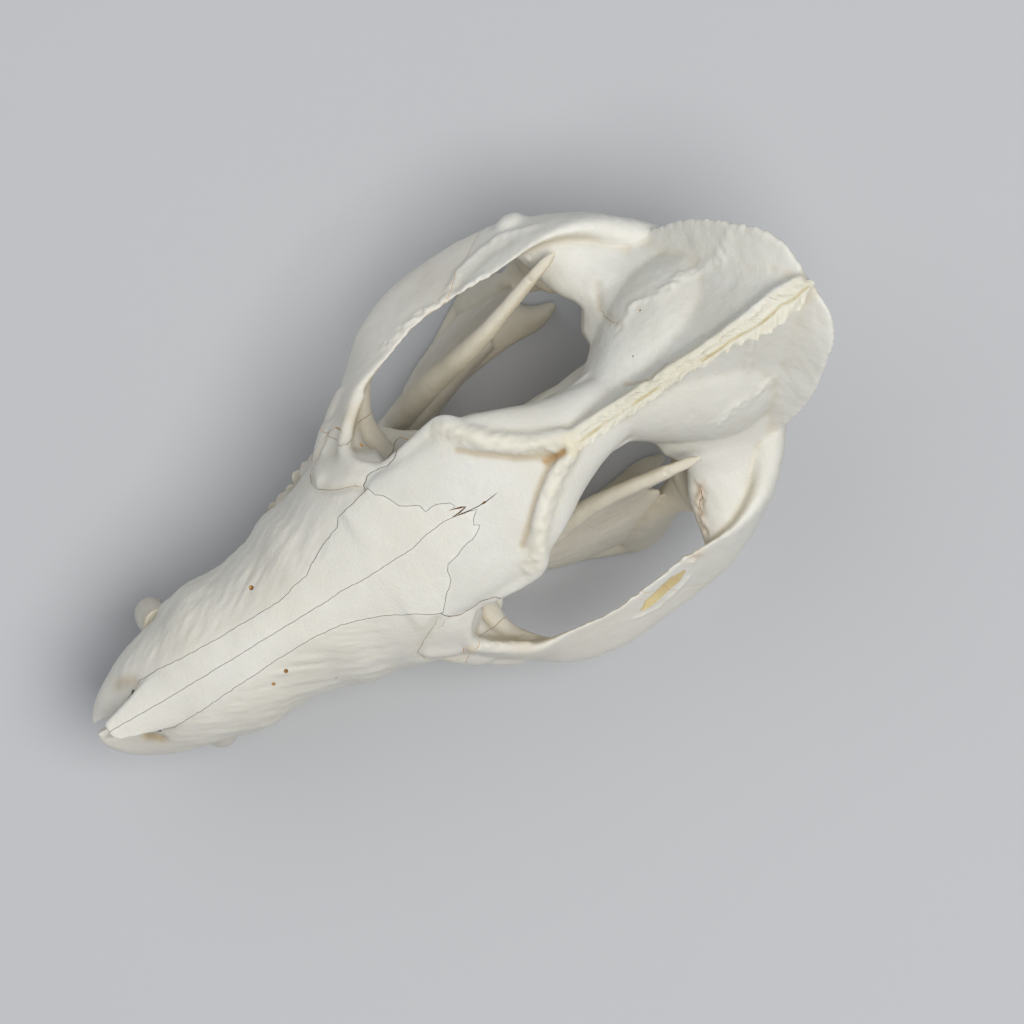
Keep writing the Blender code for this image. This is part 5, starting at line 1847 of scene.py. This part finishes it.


# Marks drawn on the bone, and tints, among them painted shade and painted highlight


# BEIGE is also the painted shade that the Painter gives hollows and faces turned from the light
BEIGE = (0.86, 0.80, 0.70)
BROWN = (0.62, 0.50, 0.34)
YELLOW = (1.0, 0.97, 0.86)
PINK = (0.88, 0.74, 0.63)
ORANGE = (0.72, 0.50, 0.24)
# Painted highlight: strokes in this white brighten raised ridges, edges and the rims of the yellow hollow
HIGHLIGHT_WHITE = (1.06, 1.06, 1.05)
CREAM = (1.0, 0.96, 0.86)
GROOVE_YELLOW = (0.86, 0.80, 0.60)

STROKES = (
    Stroke(((-7.8, 67.3), (-5.8, 69.4), (-4, 71.7), (-2.2, 73.9), (-0.7, 76.4), (0.6, 78.5), (0.9, 80.6)),
           0.55, -0.3, tint=BROWN),
    Stroke(((9.4, 67.8), (8.2, 69.3), (6.2, 71.5), (4.2, 73.7), (2.8, 75.7), (1.6, 77.6), (1.2, 80)), 0.55,
           -0.3, tint=BROWN),
    Stroke(((0.8, 77.6), (1, 80.6)), 0.6, -0.35, tint=ORANGE, strength=0.9),
    Stroke(((-12.2, 66.4), (-8.8, 69.6), (-6.5, 72.2), (-4.4, 74.4), (-2.6, 76.5), (-1, 78.9),
            (-0.3, 81.4)), 1.8, 0.3, 0.28, tint=CREAM, strength=0.6),
    Stroke(((12.6, 66.8), (10.6, 69.8), (8.6, 72.2), (6.4, 74.6), (4.4, 77), (2.9, 79.5), (2.2, 81.6)), 1.8,
           0.3, 0.28, tint=CREAM, strength=0.6),
    Stroke(((-17.4, 98.3), (-14.1, 96.7), (-12.9, 96.7), (-11.6, 97.1), (-10.3, 97.9)), 0.8, -0.2, 0.1,
           tint=BEIGE),
    Stroke(((-10.3, 97.9), (-11.6, 100.7), (-11.6, 102.8), (-11.2, 104.8), (-11, 107.2), (-11.6, 109.4)),
           0.9, 0.25, 0.3, tint=HIGHLIGHT_WHITE),
    Stroke(((-10.5, 105.1), (-11.1, 107.9), (-11.2, 110.6), (-10.9, 113.5), (-10.7, 115.8), (-11.6, 117.2),
            (-13.2, 118.9)), 1.2, 0.22, 0.2),
    Stroke(((2.5, 113.1), (3.4, 112.1), (5.7, 110.3)), 0.45, 0.28),
    Stroke(((9.8, 102), (9.4, 106), (9, 109.5), (8.8, 112)), 1.0, 0.25, 0.3, tint=HIGHLIGHT_WHITE),
    Stroke(((-2.5, 93.8), (-1.8, 95.3), (-1.1, 97.2), (-1.7, 100.5)), 0.4, -0.25, 0.1, tint=BROWN,
           strength=0.35),
    Stroke(((-20, 52.8), (-18.6, 50.8), (-17, 48.8), (-15.4, 47.8)), 1.7, 0.6, tint=HIGHLIGHT_WHITE, strength=0.8),
    Stroke(((18, 52.6), (17, 50.2), (15.6, 47.6)), 1.8, 0.5, tint=HIGHLIGHT_WHITE, strength=0.8),
    Stroke(((-28.9, 79.7), (-30.2, 82), (-31, 86.3), (-31.2, 90), (-29.6, 95.2)), 0.7, 0.3, 0.15),
    Stroke(((-28.3, 80.4), (-29.2, 83.2), (-29.9, 87.2), (-29.8, 90.6)), 1.0, -0.25,
           tint=(0.93, 0.92, 0.90), strength=0.6),
    Stroke(((-26.6, 66.5), (-27.6, 70.2), (-27.9, 74), (-27.7, 79.1), (-27.4, 84), (-26.7, 88.1),
            (-25.8, 92)), 0.8, 0.12, 0.3, tint=HIGHLIGHT_WHITE, strength=0.7, cell=0.7),
    Stroke(((-5.9, 5.6), (-5.5, 6.9), (-5, 8)), 1.1, -0.2, tint=BROWN),
    Stroke(((3, 5.2), (3.7, 6.2), (4.5, 6.8)), 0.9, -0.55, tint=BROWN, strength=0.85),
    Stroke(((18.9, 54.4), (20.3, 58.2), (22.1, 63.5), (23.1, 66.4), (24.4, 71)), 0.6, 0.15, 0.25,
           tint=HIGHLIGHT_WHITE, cell=0.7),
    Stroke(((-10.9, 52.4), (-11.7, 51.4), (-12.3, 49.7), (-13.1, 48), (-14.4, 46.4), (-16.4, 46.9),
            (-18.2, 49.4), (-20.2, 52.4)), 0.75, -0.4, tint=(0.90, 0.88, 0.82), strength=0.6),
    Stroke(((11.8, 51), (12.6, 49.2), (13.6, 47), (14.6, 45.8), (16.4, 47.2), (18.2, 50.2), (19.2, 53)),
           0.75, -0.3, tint=(0.93, 0.91, 0.86)),
    Stroke(((18.2, 53), (18.8, 52.6)), 0.7, 0.25, tint=(0.92, 0.84, 0.70), strength=0.8),
    Stroke(((22.6, 67), (24.5, 72.2), (25.4, 77)), 1.0, 0.0, 0.1, tint=HIGHLIGHT_WHITE, strength=0.6),
    # Painted highlight along the rim of the yellow hollow
    Stroke(((27.6, 76), (28.2, 79.4), (27.8, 82.6), (26.9, 86)), 0.45, 0.25, 0.15, tint=HIGHLIGHT_WHITE,
           strength=0.8),
    Stroke(((-20.6, 57), (-17.2, 58.4), (-13.6, 59)), 2.2, tint=BEIGE, strength=0.6),
    Stroke(((15, 57.6), (18.6, 57.4), (21.6, 60)), 2.2, tint=BEIGE, strength=0.6),
    Stroke(((16.3, 94.9), (18.4, 93.4), (20, 92.6), (21.9, 92), (23.6, 90.6), (24.8, 88.7)), 1.0, -0.1, 0.5,
           tint=PINK, strength=0.75, cell=0.75),
    # Painted highlight at the yellow hollow's lower rim
    Stroke(((23.2, 86.6), (24.2, 87.2), (25.2, 88)), 0.7, 0.3, 0.5, tint=HIGHLIGHT_WHITE, strength=0.8, cell=0.7),
)
GROOVES = (
    Groove(((-10.9, 52.4), (-11.7, 51.4), (-12.3, 49.7), (-13.1, 48), (-14.2, 46.6), (-15.5, 46.3),
            (-16.4, 46.7), (-17.5, 47.8), (-18.6, 49.3), (-19.8, 50.9), (-20.4, 52.5), (-20.6, 53.9),
            (-19.8, 54.3)), 0.09, 0.25, 0.08),
    Groove(((-20.2, 53), (-20.6, 53.9), (-19.8, 54.3), (-19.2, 54.1)), 0.3, 0.3, 0.05, stain=2),
    Groove(((11.8, 51.4), (12.6, 49.6), (13.4, 47.6), (14.4, 46), (15.8, 46.4), (17.2, 48), (18.6, 50.4),
            (19.4, 52.8), (18.6, 54)), 0.06, 0.2, 0.08),
    Groove(((0.3, 61.6), (0.8, 64.1), (0.9, 66), (0.9, 67.4), (0.8, 68.9)), 0.12, 0.7, 0.1),
    Groove(((1, 65.4), (1, 66.4), (0.9, 67.4)), 0.22, 0.8, 0.06),
    Groove(((-0.9, 61.4), (-0.6, 62.4), (0, 63.8), (0.2, 62.6), (0.2, 61.2)), 0.17, 0.8, 0.05),
    Groove(((-14.1, 96.7), (-12.9, 96.7), (-11.6, 97.1), (-10.3, 97.9)), 0.08, 0.25, 0.15),
    Groove(((10.2, 96.7), (12.2, 97.4), (13.9, 96.9)), 0.07, 0.2, 0.08),
    Groove(((13.2, 50.4), (12.4, 53), (12.8, 55)), 0.06, 0.2, 0.15),
    Groove(((27.3, 77.4), (26.7, 80.2), (26.2, 83.2), (25.7, 86.2)), 2.3, 0.6, 0.1, 0.9, stain=2,
           floor=0.6),
    Groove(((16.3, 95.2), (17.6, 94.3), (18.6, 93.4), (19.6, 93.1), (20.3, 92.6)), 0.14, 0.4, 0.3, 0.5),
)
PORES = (
    Pore(-7.2, 30.3, 0.38, 0.5), Pore(6.1, 27.9, 0.34, 0.4), Pore(6.7, 25.3, 0.3, 0.36),
    Pore(11.0, 33.6, 0.2, 0.2), Pore(-16.2, 55.7, 0.4, 0.4), Pore(-10.6, 101.6, 0.18, 0.18),
    Pore(-5.4, 97.0, 0.14, 0.14),
)


def toward(tint: Array, colour: Colour, weight: Array) -> Array:
    """The tints moved toward a colour by a weight for each vertex."""
    return tint * (1 - weight[:, None]) + np.array(colour) * weight[:, None]


@dataclass
class Painter:
    """Works out the tint of every vertex and stores it on the piece: painted shade in hollows and on
    faces turned from the light, painted highlight on ridges, and the strokes' tints.

    It holds the strokes with a tint, their lines on the bone, and the crest's line in plan.
    Ranges are where a weight starts and ends, and a third number is its greatest value.
    """

    strokes: Sequence[Stroke] = ()
    lines: Sequence[Array] = ()
    crest: Array | None = None
    rounds: int = 24
    # Painted shade in hollows: depths where the beige starts and ends, and its greatest share
    sunk: Row = (0.03, 0.2, 0.6)
    # Painted highlight on ridges: heights where it starts and ends, and its greatest brightening
    ridge_highlight: Row = (0.04, 0.25, 0.06)
    # Painted shade on faces turned inward, beside the braincase and behind the orbits' front
    inward: Row = (0.15, 0.75)
    beside: Row = (12, 16)
    behind: Row = (52, 58)
    ahead: Row = (100, 106)
    below: Row = (0.0, 0.7)
    below_share: float = 0.6
    hidden_share: float = 0.7
    crest_high: Row = (34.0, 35.2)
    crest_band: Row = (1.6, 2.8, 0.8)
    groove_half: float = 0.2
    groove_cell: Row = (1.0, 2.2, 1.0)
    groove_seed: int = 34
    groove_range: Row = (-0.35, 0.35)

    def hollowness(self, thing: Thing) -> Array:
        """How far each vertex lies below its smoothed surroundings, mm: negative on ridges."""
        points = places(thing)
        first, last = edge_ends(thing.data)
        number = len(points)
        count = np.maximum(np.bincount(first, minlength=number) + np.bincount(last, minlength=number), 1)
        smooth = points.copy()
        for _ in range(self.rounds):
            for axis in range(3):
                column = smooth[:, axis]
                total = np.bincount(first, column[last], number) + np.bincount(last, column[first], number)
                smooth[:, axis] = 0.5 * column + 0.5 * total / count
        return np.einsum("ij,ij->i", smooth - points, normals(thing))

    def hidden(self, points: Array, out: Array) -> Array:
        """How much each vertex is turned away from the light: inward or down."""
        x, y, _ = points.T
        inward = rise_over(-out[:, 0] * np.sign(x), *self.inward) * rise_over(np.abs(x), *self.beside)
        inward *= rise_over(y, *self.behind) * (1 - rise_over(y, *self.ahead))
        below = rise_over(-out[:, 2], *self.below)
        return self.hidden_share * np.maximum(inward, self.below_share * below)

    def paint(self, thing: Thing) -> None:
        """Stores the tint in the piece's own frame, before it is set in its place."""
        points, out = places(thing), normals(thing)
        hollow = self.hollowness(thing)
        # Painted shade: hollows turn beige
        start, end, most = self.sunk
        tint = toward(np.ones((len(points), 3)), BEIGE, most * rise_over(hollow, start, end))
        # Painted highlight: ridges are brightened
        start, end, most = self.ridge_highlight
        tint *= 1 + most * rise_over(-hollow, start, end)[:, None]
        # Painted shade on faces turned inward or down, away from the light
        tint = toward(tint, BEIGE, self.hidden(points, out))
        for stroke, line in zip(self.strokes, self.lines):
            near, _ = distance_to(points, line)
            weight = (np.exp(-(near / stroke.width) ** 2) * stroke.strength)[:, None]
            tint = tint * (1 - weight) + tint * np.array(stroke.tint) * weight
        if self.crest is not None:
            self.paint_crest(points, tint)
        layer = thing.data.attributes.new("tint", "FLOAT_COLOR", "POINT")
        colours = np.column_stack((tint, np.ones(len(tint)))).astype(np.float32)
        layer.data.foreach_set("color", colours.ravel())

    def paint_crest(self, points: Array, tint: Array) -> None:
        """Yellows the crest and darkens its groove."""
        flat = points.copy()
        flat[:, 2] = 0
        near, where = distance_to(flat, self.crest)
        high = rise_over(points[:, 2], *self.crest_high)
        inside = (where > 0.001) & (where < 0.999)
        start, end, most = self.crest_band
        band = (1 - rise_over(near, start, end)) * high * inside
        kept = rise_over(lattice(points, self.groove_cell, self.groove_seed), *self.groove_range)
        groove = np.exp(-(near / self.groove_half) ** 2) * high * inside * kept
        for k, (yellow, dark) in enumerate(zip(YELLOW, GROOVE_YELLOW)):
            tint[:, k] *= 1 - band * (1 - yellow) * most
            tint[:, k] *= 1 - groove * (1 - dark)


# Assembly


def dress(thing: Thing, finish: BoneFinish | EnamelFinish, slot: Slot, node: str | None,
          seat: Matrix, stains: bool = True) -> None:
    """Sets a finished piece in its place and gives it its materials and body.

    Args:
        thing: The piece, in the frame of its tables.
        finish: Its finish.
        slot: The record's material slot; not used.
        node: The CAD node it replaces, or None.
        seat: From its tables to the floor's frame, mm.
        stains: Whether its grooves carry the two stains.
    """
    thing.data.transform(Matrix.Scale(MM, 4) @ seat)
    finishes = (finish, SUTURE_STAIN, YELLOW_STAIN) if stains else (finish,)
    for index, each in enumerate(finishes):
        if index < len(thing.data.materials):
            thing.data.materials[index] = each.build()
        else:
            thing.data.materials.append(each.build())
    thing.data.shade_smooth()
    thing.data.set_sharp_from_angle(angle=SHARP_ANGLE)
    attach(thing, BODY)
    if node:
        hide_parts(node)
    triangles = sum(len(face.vertices) - 2 for face in thing.data.polygons)
    log.info("%s: %d triangles", thing.name, triangles)


def bounds_of(things: Sequence[tuple[Thing, Matrix]]) -> tuple[Array, Array]:
    """Lowest and highest corner of pieces seen in the floor's frame."""
    lows, highs = [], []
    for thing, matrix in things:
        turn = np.array(matrix.to_3x3())
        points = places(thing) @ turn.T + np.array(matrix.translation)
        lows.append(points.min(axis=0))
        highs.append(points.max(axis=0))
    return np.min(lows, axis=0), np.max(highs, axis=0)


def main() -> None:
    """Builds the skull, dresses it and sets the studio round it."""
    logging.basicConfig(level=logging.INFO, format="%(message)s", stream=sys.stdout)
    stance = Stance()
    camera = PhotoCamera()
    jaws = {side: Mandible(side) for side in Side}
    halves = {side: jaw.form() for side, jaw in jaws.items()}
    skull = Cranium(strokes=STROKES, grooves=GROOVES, pores=PORES)
    whole = skull.form()
    for side, jaw in jaws.items():
        jaw.weather(halves[side])
        jaw.trim(halves[side])
    low, high = bounds_of([(whole, stance.cranium())] + [(half, stance.jaw()) for half in halves.values()])
    shift = Matrix.Translation((-(low[0] + high[0]) / 2, -(low[1] + high[1]) / 2, -low[2]))
    seat, jaw_seat = shift @ stance.cranium(), shift @ stance.jaw()
    log.info("cranium formed, shift %s", tuple(round(v, 2) for v in shift.translation))
    skull.weather(whole)
    skull.sculpt(whole, Skin(whole, seat, camera))
    skin = Skin(whole, seat, camera)
    # Places for the stains, which the cut faces take as the second and third material
    for name in ("bone", "stain", "yellow"):
        whole.data.materials.append(bpy.data.materials.new(f"{name}_slot"))
    skull.scar(whole, skin)
    log.info("sutures cut")
    tinted = [stroke for stroke in skull.strokes if stroke.tint]
    painter = Painter(tinted, [stroke.trace(skin) for stroke in tinted], skull.edge.line(skin, skull.height))
    bones = skull.part(whole, skin)
    log.info("bones parted")
    finishes = {"rostrum": (ROSTRUM_BONE, Slot.ROSTRUM), "braincase": (BRAINCASE_BONE, Slot.BRAINCASE),
                "nasal_left": (NASAL_BONE, Slot.NASAL), "nasal_right": (NASAL_BONE, Slot.NASAL),
                "zygomatic_arch_left": (ARCH_BONE, Slot.ARCH), "zygomatic_arch_right": (ARCH_BONE, Slot.ARCH)}
    for name, bone in bones.items():
        painter.paint(bone)
        dress(bone, *finishes[name], name, seat)
    # The jaw gets only painted shade in hollows and on faces turned from the light, and painted highlight on
    # ridges
    plain = Painter()
    for side in Side:
        plain.paint(halves[side])
        dress(halves[side], JAW_BONE, Slot.MANDIBLE, f"mandible_{side.word}", jaw_seat)
        dress(UPPER_TEETH.build(side), SHADED_ENAMEL, Slot.TOOTH, None, seat, stains=False)
        dress(LOWER_TEETH.build(side), SHADED_ENAMEL, Slot.TOOTH, None, jaw_seat, stains=False)
    Studio(camera).build()


if __name__ == "__main__":
    main()
